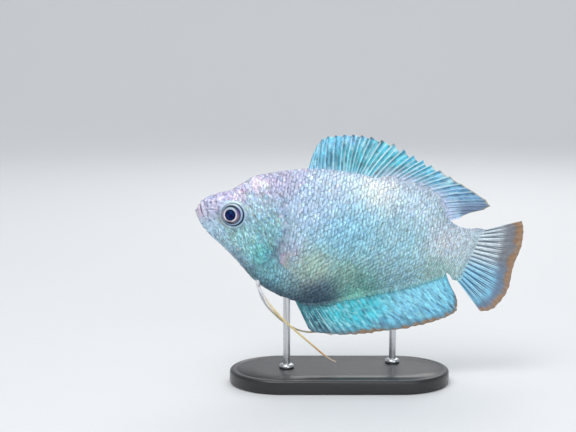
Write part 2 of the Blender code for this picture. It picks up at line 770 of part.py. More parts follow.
def main():
    clear_scene()
    fish = bpy.data.objects.new("fish", None)
    stand = bpy.data.objects.new("stand", None)
    for empty in (fish, stand):
        bpy.context.scene.collection.objects.link(empty)
    fish.location = (SNOUT_X * MM, 0, SNOUT_Z * MM)
    fish.rotation_euler = (0, math.radians(NOSE_UP), 0)

    head, trunk, stem, *covers = make_flesh()
    rods = (("stand_rod_front", front_rod_path()), ("stand_rod_rear", rear_rod_path()))
    combine(trunk, [rod_socket(path) for _, path in rods], "DIFFERENCE")
    reach = (EYE_RADIUS, EYE_DEPTH, EYE_RADIUS)
    eyes = [
        ellipsoid(name, eye_centre(side), reach, side * EYE_FORWARD)
        for side, name in ((-1, "eye_left"), (1, "eye_right"))
    ]
    teeth = np.interp(np.linspace(0, 1, DORSAL_RAYS), *np.transpose(DORSAL_TEETH))
    dorsal = edge_fin("dorsal_fin", DORSAL_GUIDES, TOP_EDGE, DORSAL_RAYS, 0.02, 0.03, teeth)
    anal = edge_fin("anal_fin", ANAL_GUIDES, BOTTOM_EDGE, ANAL_RAYS, -0.02, 0.04)
    caudal = tail_fin("caudal_fin")
    pectorals = [pectoral_fin("pectoral_fin_left", -1), pectoral_fin("pectoral_fin_right", 1)]
    pelvics = [pelvic_fin("pelvic_fin_left", PELVIC_LEFT, -1), pelvic_fin("pelvic_fin_right", PELVIC_RIGHT, 1)]

    pieces = (
        ([trunk, stem], material("body")),
        ([head], material("head")),
        (covers, material("gill_cover")),
        ([dorsal, anal], material("fin")),
        ([caudal], material("tail_fin")),
        (pectorals, material("clear_fin")),
        (pelvics, material("thread")),
        (eyes, material("eye", roughness=0.1)),
    )
    for objects, made_of in pieces:
        for obj in objects:
            swing(obj)
            finish(obj, made_of, fish)
    finish(stand_base(), material("base", roughness=0.3), stand)
    steel = material("rod", metallic=1.0, roughness=0.25)
    for name, path in rods:
        finish(stand_rod(name, path), steel, stand)


main()
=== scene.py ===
"""The looks of the dwarf gourami on its stand: skin, scales, fins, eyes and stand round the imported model.

As in the part's source, the fish is drawn in its own frame, in millimetres: s runs from the tip of the
snout to the tail, y to the fish's right, and h up. into_world sets it nose-up over the stand, in metres.
"""

import math

import bpy
import numpy as np
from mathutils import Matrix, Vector


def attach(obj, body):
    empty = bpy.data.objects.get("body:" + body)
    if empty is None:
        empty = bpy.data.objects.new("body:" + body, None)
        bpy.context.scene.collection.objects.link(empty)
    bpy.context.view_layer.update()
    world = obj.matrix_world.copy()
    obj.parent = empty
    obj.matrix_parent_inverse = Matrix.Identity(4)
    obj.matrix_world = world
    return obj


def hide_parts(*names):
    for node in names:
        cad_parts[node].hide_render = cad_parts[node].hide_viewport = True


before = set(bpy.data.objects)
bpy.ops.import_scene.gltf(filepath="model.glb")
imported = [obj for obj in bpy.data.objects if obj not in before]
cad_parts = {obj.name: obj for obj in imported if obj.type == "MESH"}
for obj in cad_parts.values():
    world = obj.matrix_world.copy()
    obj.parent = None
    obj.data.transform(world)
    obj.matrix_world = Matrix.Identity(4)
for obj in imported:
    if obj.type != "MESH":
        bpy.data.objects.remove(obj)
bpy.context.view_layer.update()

MM = 0.001
MIRRORED = (1, -1, 1)

# Where the fish hangs, and how its tail is swung, as in the part's source
NOSE_UP = 10.0
SNOUT_X = -32.4
SNOUT_Z = 39.9
GAP = 0.3
SWAY = 3.4
SWAY_FROM = 22.0
SWAY_TO = 74.0

# Body sections: s, top, bottom, half width, level of the widest point, and how the upper and the lower
# half narrow towards the crest (1 is an ellipse, more is a sharper edge)
BODY_SECTIONS = (
    (0.00, 0.00, -0.65, 0.45, -0.3, 1.00, 1.00),
    (0.35, 0.65, -1.30, 0.90, -0.3, 1.00, 1.00),
    (0.80, 1.50, -2.00, 1.20, -0.3, 1.00, 1.00),
    (1.40, 2.40, -2.85, 1.52, -0.3, 1.00, 1.00),
    (2.80, 3.55, -4.30, 2.10, -0.3, 1.00, 1.00),
    (5.20, 4.80, -6.15, 2.75, -0.3, 0.98, 1.02),
    (8.00, 6.50, -8.15, 3.40, -0.3, 0.98, 1.05),
    (11.0, 9.15, -10.3, 4.05, -0.3, 1.02, 1.05),
    (14.5, 10.8, -13.1, 4.60, -0.2, 1.08, 1.05),
    (19.0, 12.3, -15.5, 5.00, 0.0, 1.12, 1.05),
    (25.0, 13.7, -17.0, 5.20, 0.0, 1.15, 1.10),
    (31.0, 14.2, -16.6, 5.10, 0.2, 1.18, 1.25),
    (37.0, 14.2, -14.1, 4.75, 0.3, 1.20, 1.35),
    (43.0, 13.9, -11.7, 4.20, 0.4, 1.22, 1.40),
    (48.5, 13.3, -9.70, 3.55, 0.6, 1.25, 1.40),
    (52.6, 11.9, -7.80, 2.95, 0.6, 1.25, 1.35),
    (55.6, 8.05, -6.45, 2.40, 0.5, 1.20, 1.30),
    (57.0, 6.70, -5.80, 2.15, 0.4, 1.18, 1.25),
    (58.4, 6.15, -5.25, 1.85, 0.3, 1.15, 1.20),
    (60.0, 6.10, -5.10, 1.50, 0.1, 1.12, 1.15),
    (61.8, 6.60, -6.50, 1.15, 0.0, 1.10, 1.10),
)
TAIL_SLANT = 0.26
TAIL_SLANT_FROM = 52.0
TAIL_SLANT_TO = 61.8

# Head
EYE_AT = (8.4, 0.5)
EYE_RADIUS = 2.45
EYE_DEPTH = 1.5
EYE_OUT = 2.7
EYE_FORWARD = 13.0
EYE_RINGS = 70
EYE_SIDES = 96
PUPIL_AT = (-0.20, -0.06)
SOCKET_RADIUS = 2.52
ORBIT_RADIUS = 2.66
SOCKET_MIDDLE = (SOCKET_RADIUS + ORBIT_RADIUS) / 2
SOCKET_DEPTH = 1.9
NOSTRILS = ((3.1, 2.1, 0.42), (4.3, 2.5, 0.30))
MOUTH_TOP = (0.70, 1.45)
MOUTH_CORNER = (1.75, -0.95)
GILL_EDGE = (
    (13.2, 18.0), (14.4, 10.2), (17.0, 7.0), (19.2, 5.2), (20.1, 1.8), (20.2, -2.2), (19.2, -5.8),
    (16.9, -9.3), (14.0, -11.2), (11.6, -16.0),
)
GILL_FLAP = (
    (16.8, 6.9), (18.6, 5.6), (19.6, 3.4), (20.1, 0.6), (20.2, -2.4), (19.5, -5.2), (18.2, -7.8),
    (16.4, -9.5), (13.6, -9.9), (10.6, -8.6), (7.2, -6.4),
)
# Grooves of the head: each line, its width and its depth
HEAD_GROOVES = (
    (((12.3, 4.2), (13.2, 1.5), (13.0, -2.0), (12.0, -5.2), (9.6, -7.0), (6.6, -6.0)), 0.30, 0.09),
    (((2.2, 2.3), (2.6, 0.45), (3.1, -1.3)), 0.20, 0.09),
    (((3.0, 0.6), (3.7, 0.75), (4.5, 0.9)), 0.17, 0.11),
    (((2.6, -1.6), (3.6, -1.75), (4.8, -2.4)), 0.18, 0.08),
)

# Fins: each guide ray is its root's s, and its tip's s and h
DORSAL_GUIDES = (
    (23.4, 23.8, 16.8), (25.4, 25.0, 20.2), (28.9, 27.9, 21.7), (31.9, 31.7, 22.6),
    (34.2, 35.9, 22.9), (36.8, 41.1, 22.1), (40.7, 46.0, 20.4), (44.2, 50.4, 18.9),
    (48.4, 55.0, 17.0), (52.7, 61.2, 14.4), (54.9, 65.7, 11.8), (56.1, 61.6, 9.7),
    (57.2, 58.9, 7.9),
)
ANAL_GUIDES = (
    (25.9, 28.8, -21.0), (26.7, 30.3, -23.2), (28.2, 33.2, -23.3), (31.0, 37.3, -23.1),
    (34.8, 41.7, -22.1), (39.2, 46.5, -20.8), (44.0, 51.8, -19.2), (48.4, 56.8, -17.2),
    (52.2, 60.4, -15.3), (55.4, 62.5, -13.4), (57.3, 62.0, -10.4), (58.5, 60.4, -8.3),
)
# Guide rays of the tail fin: the root's h on the body's end, and the tip's s and h
CAUDAL_GUIDES = (
    (5.5, 73.4, 9.6), (4.6, 74.2, 7.6), (3.4, 74.5, 4.9), (2.0, 74.2, 1.8), (0.7, 73.6, -0.8),
    (-0.7, 73.6, -3.2), (-2.1, 73.5, -6.0), (-3.5, 72.5, -9.0), (-4.7, 70.6, -11.7),
    (-5.7, 68.0, -12.5),
)
# Pectoral fin, in its own plane: how far down the root, then the tip's distance back and up
PECTORAL_GUIDES = (
    (0.0, 9.4, 3.3), (0.2, 11.5, 1.5), (0.5, 11.7, -1.3), (0.8, 9.6, -4.0), (1.0, 6.4, -5.2),
)
PECTORAL_ROOT = (21.6, -7.0)
PECTORAL_ROOT_HEIGHT = 3.0
PECTORAL_OUT = 17.0
PECTORAL_CAMBER = 0.012
DORSAL_TEETH = ((0.0, 0.03), (0.28, 0.05), (0.42, 0.12), (0.55, 0.12), (0.63, 0.06), (0.7, 0.0), (1.0, 0.0))
DORSAL_RAYS = 25
ANAL_RAYS = 30
CAUDAL_RAYS = 16
PECTORAL_RAYS = 10
RAY_AT_ROOT = 0.9
RAY_WIDTH = 0.13
# How thick the membrane is, and the rays at their root and tip
FIN_THICK = (0.16, 0.62, 0.30)
PECTORAL_THICK = (0.12, 0.5, 0.24)

# Pelvic fins, each a long thread: s, how far out of the middle, and h
PELVIC_LEFT = (
    (16.9, 1.5, -14.9), (17.8, 2.2, -16.0), (19.4, 2.9, -17.6), (21.8, 3.5, -19.6),
    (25.2, 3.9, -21.9), (30.3, 4.1, -25.0), (34.5, 4.0, -27.5), (37.0, 3.8, -28.5),
)
PELVIC_RIGHT = (
    (16.9, 1.5, -14.9), (17.5, 2.4, -17.0), (19.2, 3.2, -19.5), (21.3, 3.8, -21.3),
    (24.0, 4.4, -23.1), (27.1, 4.8, -24.4), (30.2, 5.1, -24.7), (32.9, 5.4, -24.3),
    (35.8, 5.8, -24.6),
)

THREAD_SIDES = 12
# How far along its length each thread's orange spot lies
ORANGE_SHARE = 0.80

# Display stand
BASE_LENGTH = 50.0
BASE_WIDTH = 24.0
BASE_HEIGHT = 3.2
BASE_BEVEL = 0.7
FRONT_ROD_AT = (-12.0, 0.0)
FRONT_ROD_TOP = 22.4
REAR_ROD_AT = (12.5, 4.9)
REAR_ROD_TOP = 29.0
REAR_ROD_BEND = 2.2
REAR_ROD_TURN = 60.0
REAR_ROD_END = 2.5
ROD_RADIUS = 0.8
ROD_SIDES = 40
ROD_SOCKET_DEPTH = 1.8
COLLAR_RADIUS = 1.7
COLLAR_HEIGHT = 0.9

# Skin: how deep it lies under the coat of scales, how far it reaches past the body's sections at the
# tail and at the snout, and how many rings and columns its mesh has
COAT_DEPTH = 0.17
TAIL_WEDGE = 2.2
SNOUT_CAP = 0.1
SNOUT_SHRINKS = (0.03, 0.35, 0.65, 0.87)
RINGS = 410
SIDE_COLUMNS = 112
RINGS_PER_MM = ((0.0, 15.0), (3.2, 15.0), (4.2, 8.6), (19.5, 8.6), (23.0, 4.8), (61.8, 4.8))
# The unwrap: the fish's length and the half girth that it holds, in millimetres, and a scale's share of it
UNWRAP_LENGTH = 63.2
UNWRAP_GIRTH = 36.0
UNWRAP_SCALE = 0.0015

# Scales: their spacing along a row, the height of half a row and their own sizes, in millimetres
SCALE_STEP = 1.50
SCALE_ROW = 0.57
SCALE_LENGTH = 2.1
SCALE_WIDTH = 1.62
SCALE_LIFT = 0.175
SCALE_THICK = 0.07
SCALE_SUNK = 0.08
# Their size on the head, from snout to nape, and how many points each has along its sides
HEAD_SCALES = (0.52, 0.76, 0.90)
PLATE_POINTS = 5
# How far the flank's upright streaks lean, in degrees
STREAK_LEAN = -14.0

# The skin's colours: the name of each place, where it lies on the flank (s, h) and how far it spreads
SKIN_ZONES = (
    ("lip", 1.0, 0.3, 1.6, (196, 186, 204)),
    ("snout", 3.6, 2.6, 2.0, (186, 190, 224)),
    ("forehead", 8.2, 6.0, 3.0, (206, 194, 226)),
    ("nape", 17.6, 11.4, 5.0, (180, 178, 208)),
    ("chin", 4.2, -4.0, 2.2, (170, 200, 220)),
    ("throat", 9.4, -9.0, 3.0, (160, 190, 208)),
    ("cheek", 11.2, -4.6, 2.6, (158, 206, 210)),
    ("brow", 12.6, 4.2, 2.6, (180, 205, 222)),
    ("crown", 12.6, 8.4, 2.6, (212, 205, 230)),
    ("back_front", 29.5, 12.6, 3.4, (202, 220, 240)),
    ("gill_cover", 16.3, -1.0, 3.2, (140, 191, 202)),
    ("gill_cover_low", 16.4, -7.0, 2.4, (107, 187, 192)),
    ("chest", 17.4, -12.6, 3.0, (124, 182, 195)),
    ("axil", 22.5, -5.0, 2.2, (176, 186, 208)),
    ("under_pectoral", 28.5, -7.4, 3.2, (170, 203, 193)),
    ("flank_front", 25.3, 6.0, 5.0, (180, 206, 232)),
    ("flank_middle", 34.5, 0.0, 5.5, (148, 203, 225)),
    ("flank_rear", 45.5, -1.5, 5.5, (157, 201, 214)),
    ("flank_low", 36.0, -7.4, 4.0, (140, 182, 174)),
    # Painted shade under the belly
    ("belly_painted_shade", 30.5, -12.6, 3.8, (88, 111, 127)),
    ("belly_rear", 39.5, -9.8, 3.0, (125, 179, 174)),
    ("anal_row", 39.0, -13.2, 2.2, (150, 222, 204)),
    # Partly the back's own pale colour, partly a painted highlight where the light from above falls
    ("back", 39.5, 12.8, 3.4, (238, 247, 252)),
    ("back_rear", 48.8, 10.8, 3.6, (194, 217, 232)),
    ("stem", 56.5, 2.0, 3.2, (200, 212, 222)),
    ("stem_low", 55.6, -3.8, 2.6, (169, 205, 203)),
)


def linear(colour):
    """A screen colour, 0 to 255, as linear light."""
    share = np.asarray(colour, float) / 255.0
    return np.where(share <= 0.04045, share / 12.92, ((share + 0.055) / 1.055) ** 2.4)


def smooth_step(x):
    x = np.clip(x, 0.0, 1.0)
    return x * x * (3.0 - 2.0 * x)


def rise(x, start, width):
    """0 up to the start, and 1 once x is the width beyond it."""
    return smooth_step((x - start) / width)


def fall(x, end, width):
    """1 until x comes within the width of the end, and 0 beyond it."""
    return smooth_step((end - x) / width)


def hump(distance, width):
    """1 at no distance, falling smoothly away over the width."""
    return np.exp(-((distance / width) ** 2))


def arc(turn, middle, reach):
    """1 towards one way round the eye, in degrees with 0 at the back, and little beyond its reach."""
    return hump((np.degrees(turn) - middle + 180) % 360 - 180, reach)


def blend(a, b, share):
    """Numbers a turned into b by a share for each."""
    return a * (1 - share) + b * share


def mixed(a, b, share):
    """The same for colours or points, with one share for all the numbers of each."""
    return blend(a, b, np.asarray(share)[..., None])


def painted(colour, *layers):
    """Colours with screen colours laid over them in turn, each by its own share."""
    for tone, share in layers:
        colour = mixed(colour, linear(tone), share)
    return colour


def even_colour(colour, like):
    """One screen colour for every place."""
    return linear(colour) * np.ones((*like.shape, 1))


def turned(x, y, angle):
    """A place in a plane, turned about the plane's own middle."""
    return x * np.cos(angle) - y * np.sin(angle), x * np.sin(angle) + y * np.cos(angle)


def rows_between(guides, count):
    """That many rows, evenly spread along a natural cubic spline through the guide rows."""
    guides = np.asarray(guides, float)
    last = len(guides) - 1
    matrix = np.eye(last + 1)
    right = np.zeros_like(guides)
    for i in range(1, last):
        matrix[i, i - 1 : i + 2] = 1, 4, 1
        right[i] = 6 * ((guides[i + 1] - guides[i]) - (guides[i] - guides[i - 1]))
    bend = np.linalg.solve(matrix, right)
    place = np.linspace(0, last, count)
    i = np.clip(np.ceil(place).astype(int) - 1, 0, last - 1)
    after, before = (i + 1 - place)[:, None], (place - i)[:, None]
    cubic = (bend[i] * after**3 + bend[i + 1] * before**3) / 6
    return cubic + (guides[i] - bend[i] / 6) * after + (guides[i + 1] - bend[i + 1] / 6) * before


DENSE = rows_between(BODY_SECTIONS, 1200)


def looked_up(wanted, known, rows):
    """Rows read off at the wanted places, one column after the other."""
    return np.stack([np.interp(wanted, known, column) for column in rows.T], -1)


def slanted(s, h):
    """s, once the body's end has been slanted, so that its top lies further back than its bottom."""
    return s + TAIL_SLANT * rise(s, TAIL_SLANT_FROM, TAIL_SLANT_TO - TAIL_SLANT_FROM) * h


def section_points(row, angles, shrink=1.0):
    """Points of a section's right side, at angles from -90 degrees at the keel to 90 at the crest."""
    s, top, bottom, half_width, level, upper, lower = row
    up = np.sin(angles)
    reach = np.where(up > 0, top - level, level - bottom)
    h = level + reach * shrink * up
    y = half_width * shrink * np.clip(np.cos(angles), 0.0, 1.0) ** np.where(up > 0, upper, lower)
    return np.stack([slanted(s, h), y, h], axis=-1)


def crest(sign):
    """The body's upper (sign 1) or lower (sign -1) edge, as rows of s and h."""
    return np.array([section_points(row, sign * math.pi / 2)[[0, 2]] for row in DENSE])


TOP_EDGE = crest(1)
BOTTOM_EDGE = crest(-1)


def edge_h(edge, s):
    return np.interp(s, edge[:, 0], edge[:, 1])


def flank_y(s, h):
    """How far the body's side stands out of the middle at s and h."""
    _, top, bottom, half_width, level, upper, lower = looked_up(s, DENSE[:, 0], DENSE)
    power, reach = (upper, top - level) if h > level else (lower, level - bottom)
    return half_width * max(1 - ((h - level) / reach) ** 2, 0.0) ** (power / 2)


def sway(s):
    """How far the tail is swung towards the fish's right at s."""
    share = np.clip((s - SWAY_FROM) / (SWAY_TO - SWAY_FROM), 0.0, None)
    return SWAY * share * share


def into_world(points):
    """Points of the fish, swung and set nose-up over the stand, in metres."""
    s, y, h = np.moveaxis(np.asarray(points, float), -1, 0)
    turn = math.radians(NOSE_UP)
    x = SNOUT_X + s * math.cos(turn) + h * math.sin(turn)
    z = SNOUT_Z - s * math.sin(turn) + h * math.cos(turn)
    return np.stack([x, y + sway(s), z], axis=-1) * MM


def mottle(s, h, size, seed):
    """Soft blotches from -1 to 1, about so many millimetres across."""
    rng = np.random.default_rng(seed)
    total = np.zeros(np.shape(s))
    for _ in range(9):
        angle, phase = rng.uniform(0, 2 * math.pi, 2)
        pitch = 2 * math.pi / (size * rng.uniform(0.8, 2.4))
        total += np.sin(pitch * (s * math.cos(angle) + h * math.sin(angle)) + phase)
    return total / 4.5


def speckle(u, v, seed):
    """Fine random grain from -1 to 1, its grains one unit across."""
    table = np.random.default_rng(seed).uniform(-1, 1, (97, 89))
    i, j = np.floor(u).astype(int), np.floor(v).astype(int)
    a, b = smooth_step(u - i), smooth_step(v - j)

    def row(i):
        return blend(table[i % 97, j % 89], table[i % 97, (j + 1) % 89], b)

    return blend(row(i), row(i + 1), a)


def beside(line, s, h, count=40):
    """Each point's distance from a line, its foot's share along it, and the side of the line it is on."""
    line = rows_between(line, count)
    nearest = np.full(np.shape(s), np.inf)
    share = np.zeros(np.shape(s))
    side = np.zeros(np.shape(s))
    for i, (start, end) in enumerate(zip(line[:-1], line[1:])):
        run = end - start
        part = np.clip(((s - start[0]) * run[0] + (h - start[1]) * run[1]) / (run @ run), 0, 1)
        ds = s - start[0] - part * run[0]
        dh = h - start[1] - part * run[1]
        distance = np.hypot(ds, dh)
        closer = distance < nearest
        nearest = np.where(closer, distance, nearest)
        share = np.where(closer, (i + part) / (count - 1), share)
        side = np.where(closer, np.sign(run[0] * dh - run[1] * ds), side)
    return nearest, share, side


def mesh_object(name, points, faces, material, tint=None, uvs=None, on_scale=None):
    """A smooth piece from points in metres, with its colours, unwrap and the points' places on a scale."""
    mesh = bpy.data.meshes.new(name)
    mesh.from_pydata(points.tolist(), [], faces if isinstance(faces, list) else faces.tolist())
    mesh.materials.append(material)
    mesh.shade_smooth()

    def fill(layer, key, values):
        layer.data.foreach_set(key, np.ascontiguousarray(values, np.float32).ravel())

    if tint is not None:
        fill(mesh.color_attributes.new("tint", "FLOAT_COLOR", "POINT"), "color", tint)
    if on_scale is not None:
        fill(mesh.attributes.new("on_scale", "FLOAT_VECTOR", "POINT"), "vector", on_scale)
    if uvs is not None:
        fill(mesh.uv_layers.new(name="OFBake"), "uv", uvs)
    mesh.validate()
    obj = bpy.data.objects.new(name, mesh)
    bpy.context.scene.collection.objects.link(obj)
    return obj


def with_solid(colour, solid=1.0):
    """Colours with a fourth number, which says how solid the surface is."""
    solid = np.broadcast_to(np.asarray(solid)[..., None], (*colour.shape[:-1], 1))
    return np.concatenate([colour, solid], -1)


# Skin


def ring_rows():
    """The sections where the skin's rings lie, closer together on the head."""
    steps = np.diff(DENSE[:, :3], axis=0)
    length = np.hypot(steps[:, 0], 0.35 * np.abs(steps[:, 1]) + 0.35 * np.abs(steps[:, 2]))
    density = np.interp(DENSE[1:, 0], *np.transpose(RINGS_PER_MM))
    place = np.concatenate([[0.0], np.cumsum(length * density)])
    wanted = np.linspace(0, place[-1], RINGS)
    every = np.arange(len(DENSE))
    return looked_up(np.interp(wanted, place, every), every, DENSE)


def half_ring(row, shrink=1.0, shift=0.0):
    """A ring's right half, from keel to crest, evenly spaced, and its length."""
    points = section_points(row, np.linspace(-math.pi / 2, math.pi / 2, 241), shrink)
    points[:, 0] += shift
    steps = np.hypot(np.diff(points[:, 1]), np.diff(points[:, 2]))
    along = np.concatenate([[0.0], np.cumsum(steps)])
    wanted = np.linspace(0, along[-1], SIDE_COLUMNS + 1)
    even = looked_up(wanted, along, points)
    even[[0, -1], 1] = 0.0
    return even, along[-1]


def half_body():
    """The body's right half as a grid of rings and columns, with each ring's s and half girth."""
    rows = ring_rows()
    plan = [(rows[0], shrink, -SNOUT_CAP * (1 - shrink**2), 0.0) for shrink in SNOUT_SHRINKS]
    plan += [(row, 1.0, 0.0, 0.0) for row in rows]
    plan += [(rows[-1], 1.0, TAIL_WEDGE * share, share) for share in np.linspace(0, 1, 9)[1:]]
    rings, girths = zip(*(half_ring(row, shrink, shift) for row, shrink, shift, _ in plan))
    grid = np.array(rings)
    closing = np.array([share for _, _, _, share in plan])[:, None]
    grid[..., 1] *= 1 - 0.94 * smooth_step(closing)
    grid[..., 2] *= 1 - 0.03 * closing
    return grid, np.array([row[0] + shift for row, _, shift, _ in plan]), np.array(girths)


def grid_normals(grid):
    """Normals of a right half grid that point out of the body."""
    wide = np.concatenate([grid[:, 1:2] * MIRRORED, grid, grid[:, -2:-1] * MIRRORED], axis=1)
    normal = np.cross(wide[:, 2:] - wide[:, :-2], np.gradient(grid, axis=0))
    normal /= np.maximum(np.linalg.norm(normal, axis=-1, keepdims=True), 1e-9)
    normal *= np.sign(normal[len(grid) // 2, SIDE_COLUMNS // 2, 1])
    normal[:, (0, -1), 1] = 0.0
    normal[0] = (-1.0, 0.0, 0.0)
    normal[-1] = (1.0, 0.0, 0.0)
    return normal / np.linalg.norm(normal, axis=-1, keepdims=True)


def mouth_place(s, h):
    """How far a point is from the mouth's own plane, and how far down from the mouth's top."""
    top, corner = np.array(MOUTH_TOP), np.array(MOUTH_CORNER)
    along = (corner - top) / np.linalg.norm(corner - top)
    across = (s - top[0]) * -along[1] + (h - top[1]) * along[0]
    down = (s - top[0]) * along[0] + (h - top[1]) * along[1]
    return across, down, np.linalg.norm(corner - top)


def mouth_relief(s, h):
    """The slit of the mouth, with a full lip before and behind it."""
    across, down, length = mouth_place(s, h)
    within = fall(down, length + 0.15, 0.5) * rise(down, -1.6, 0.5)
    fullness = np.interp(down, (-1.0, length), (1.0, 0.55))
    lips = 0.30 * hump(np.abs(across) - 0.42, 0.25) * fullness
    slit = -0.42 * hump(across, 0.10)
    behind = -0.10 * hump(across - 0.98, 0.18) - 0.08 * hump(across + 0.9, 0.2)
    return (lips + slit + behind) * within


def from_eye(s, h):
    """How far behind and above the eye's middle a point lies, and how far away."""
    ds, dh = s - EYE_AT[0], h - EYE_AT[1]
    return ds, dh, np.hypot(ds, dh)


def eye_relief(s, h):
    """The socket that holds the eye, with a soft rim round it."""
    _, _, r = from_eye(s, h)
    rim = 0.16 * hump(r - 2.85, 0.28) - 0.07 * hump(r - 3.45, 0.3)
    return rim * (r > SOCKET_RADIUS) - SOCKET_DEPTH * (r < SOCKET_MIDDLE)


def gill_flap(s, h):
    """How far behind the gill cover's free edge a point lies, and how free the edge is there."""
    distance, share, side = beside(GILL_FLAP, s, h, 60)
    free = rise(share, 0, 0.25) * np.interp(share, (0.0, 0.58, 0.72, 1.0), (0.5, 1.0, 0.45, 0.2))
    return distance * side, free


def gill_relief(s, h):
    """The gill cover, a little raised towards its free edge, and the slit behind it."""
    behind, free = gill_flap(s, h)
    raised = 0.15 * np.exp(np.minimum(behind, 0) / 2.6) * (behind < 0)
    slit = -0.20 * hump(behind, 0.6) * (behind >= 0)
    return (raised + slit) * free


def groove_relief(s, h):
    total = np.zeros(np.shape(s))
    for line, width, depth in HEAD_GROOVES:
        distance, _, _ = beside(line, s, h, 24)
        total += -depth * hump(distance, width) + 0.4 * depth * hump(distance - 2 * width, width)
    return total


def nostril_relief(s, h):
    total = np.zeros(np.shape(s))
    for at_s, at_h, radius in NOSTRILS:
        r = np.hypot(s - at_s, h - at_h)
        total += -0.3 * hump(r, radius * 0.62) + 0.11 * hump(r - radius * 1.15, 0.13)
    return total


def head_bumps(s, h):
    """Small pores and ripples of the naked skin of the head."""
    ripples = 0.03 * mottle(s, h, 0.8, 5) + 0.03 * mottle(s, h, 2.2, 4)
    return fall(s, 20, 6) * (0.045 * speckle(s / 0.46, h / 0.46, 3) + ripples)


def pectoral_base(s, h):
    """The fleshy root of the pectoral fin."""
    ds, dh = s - PECTORAL_ROOT[0] - 0.2, h - PECTORAL_ROOT[1]
    return 0.62 * np.exp(-((ds / 1.15) ** 2) - (dh / 1.55) ** 4)


def coat_share(s, h):
    """Where scales grow, from 0 on the snout to 1 on the flank, which is how deep the skin lies."""
    _, _, r = from_eye(s, h)
    return rise(s, 4.6, 1.6) * rise(r, 2.9, 0.4)


def relief(s, h):
    """How far the skin stands out of the plain body, in millimetres."""
    shape = mouth_relief(s, h) + eye_relief(s, h) + gill_relief(s, h) + groove_relief(s, h)
    shape += nostril_relief(s, h) + head_bumps(s, h) + pectoral_base(s, h)
    return shape - COAT_DEPTH * coat_share(s, h)


def round_the_eye(grid):
    """Draws the points near the socket's edge onto two clean circles."""
    ds, dh, r = from_eye(grid[..., 0], grid[..., 2])
    r = np.maximum(r, 1e-6)
    wanted = np.where((r > SOCKET_RADIUS - 0.10) & (r < SOCKET_MIDDLE), SOCKET_RADIUS, r)
    wanted = np.where((r >= SOCKET_MIDDLE) & (r < ORBIT_RADIUS + 0.12), ORBIT_RADIUS, wanted)
    made = grid.copy()
    made[..., 0] = EYE_AT[0] + ds * wanted / r
    made[..., 2] = EYE_AT[1] + dh * wanted / r
    return made


# Colours of the skin


ZONE_S, ZONE_H, ZONE_SPREAD = (np.array([zone[k] for zone in SKIN_ZONES]) for k in (1, 2, 3))


def zone_shares(s, h):
    """How much each named colour counts at s and h."""
    away = (np.expand_dims(s, -1) - ZONE_S) ** 2 + (np.expand_dims(h, -1) - ZONE_H) ** 2
    share = (1 + away / ZONE_SPREAD**2) ** -2.0
    return share / share.sum(-1, keepdims=True)


# Colours that give each zone its own colour at its middle once they are blended
ZONE_BLENDS = np.linalg.solve(zone_shares(ZONE_S, ZONE_H), linear([zone[4] for zone in SKIN_ZONES]))


def zone_colour(s, h):
    """The named colours of the flank, blended into each other."""
    return np.clip(zone_shares(s, h) @ ZONE_BLENDS, 0.01, 1.0)


def skin_colour(s, h):
    """The fish's markings at s and h, for skin and scales alike, with painted shade under and behind the
    gill cover's edge and along the belly.
    """
    pebbles = 0.17 * speckle(s / 0.52, h / 0.52, 17) * fall(s, 20, 4)
    uneven = 0.05 * mottle(s, h, 5.0, 11) + 0.05 * mottle(s, h, 2.0, 12) + pebbles
    keel = h - edge_h(BOTTOM_EDGE, s)
    # Painted shade along the underside of the belly
    belly_shade = hump(keel - 0.6, 2.3) * rise(s, 7, 8) * fall(s, 38, 7)
    behind, free = gill_flap(s, h)
    # Painted shade in the slit behind the gill cover's free edge
    slit = hump(behind - 0.25, 0.45) * free
    return painted(
        zone_colour(s, h) * (1 + uneven)[..., None],
        # Painted shade under the gill cover's edge, over the pectoral fin's root
        ((70, 104, 134), 0.6 * hump(np.hypot(s - 19.3, (h + 6.0) / 1.5), 1.3)),
        ((176, 186, 206), 0.5 * hump(edge_h(TOP_EDGE, s) - h, 1.0) * rise(s, 3, 4)),
        ((74, 96, 116), (0.55 + 0.28 * hump(s - 21, 7)) * belly_shade),
        ((104, 122, 158), 0.28 * slit * (0.7 + 0.3 * mottle(s, h, 1.5, 13))),
    )


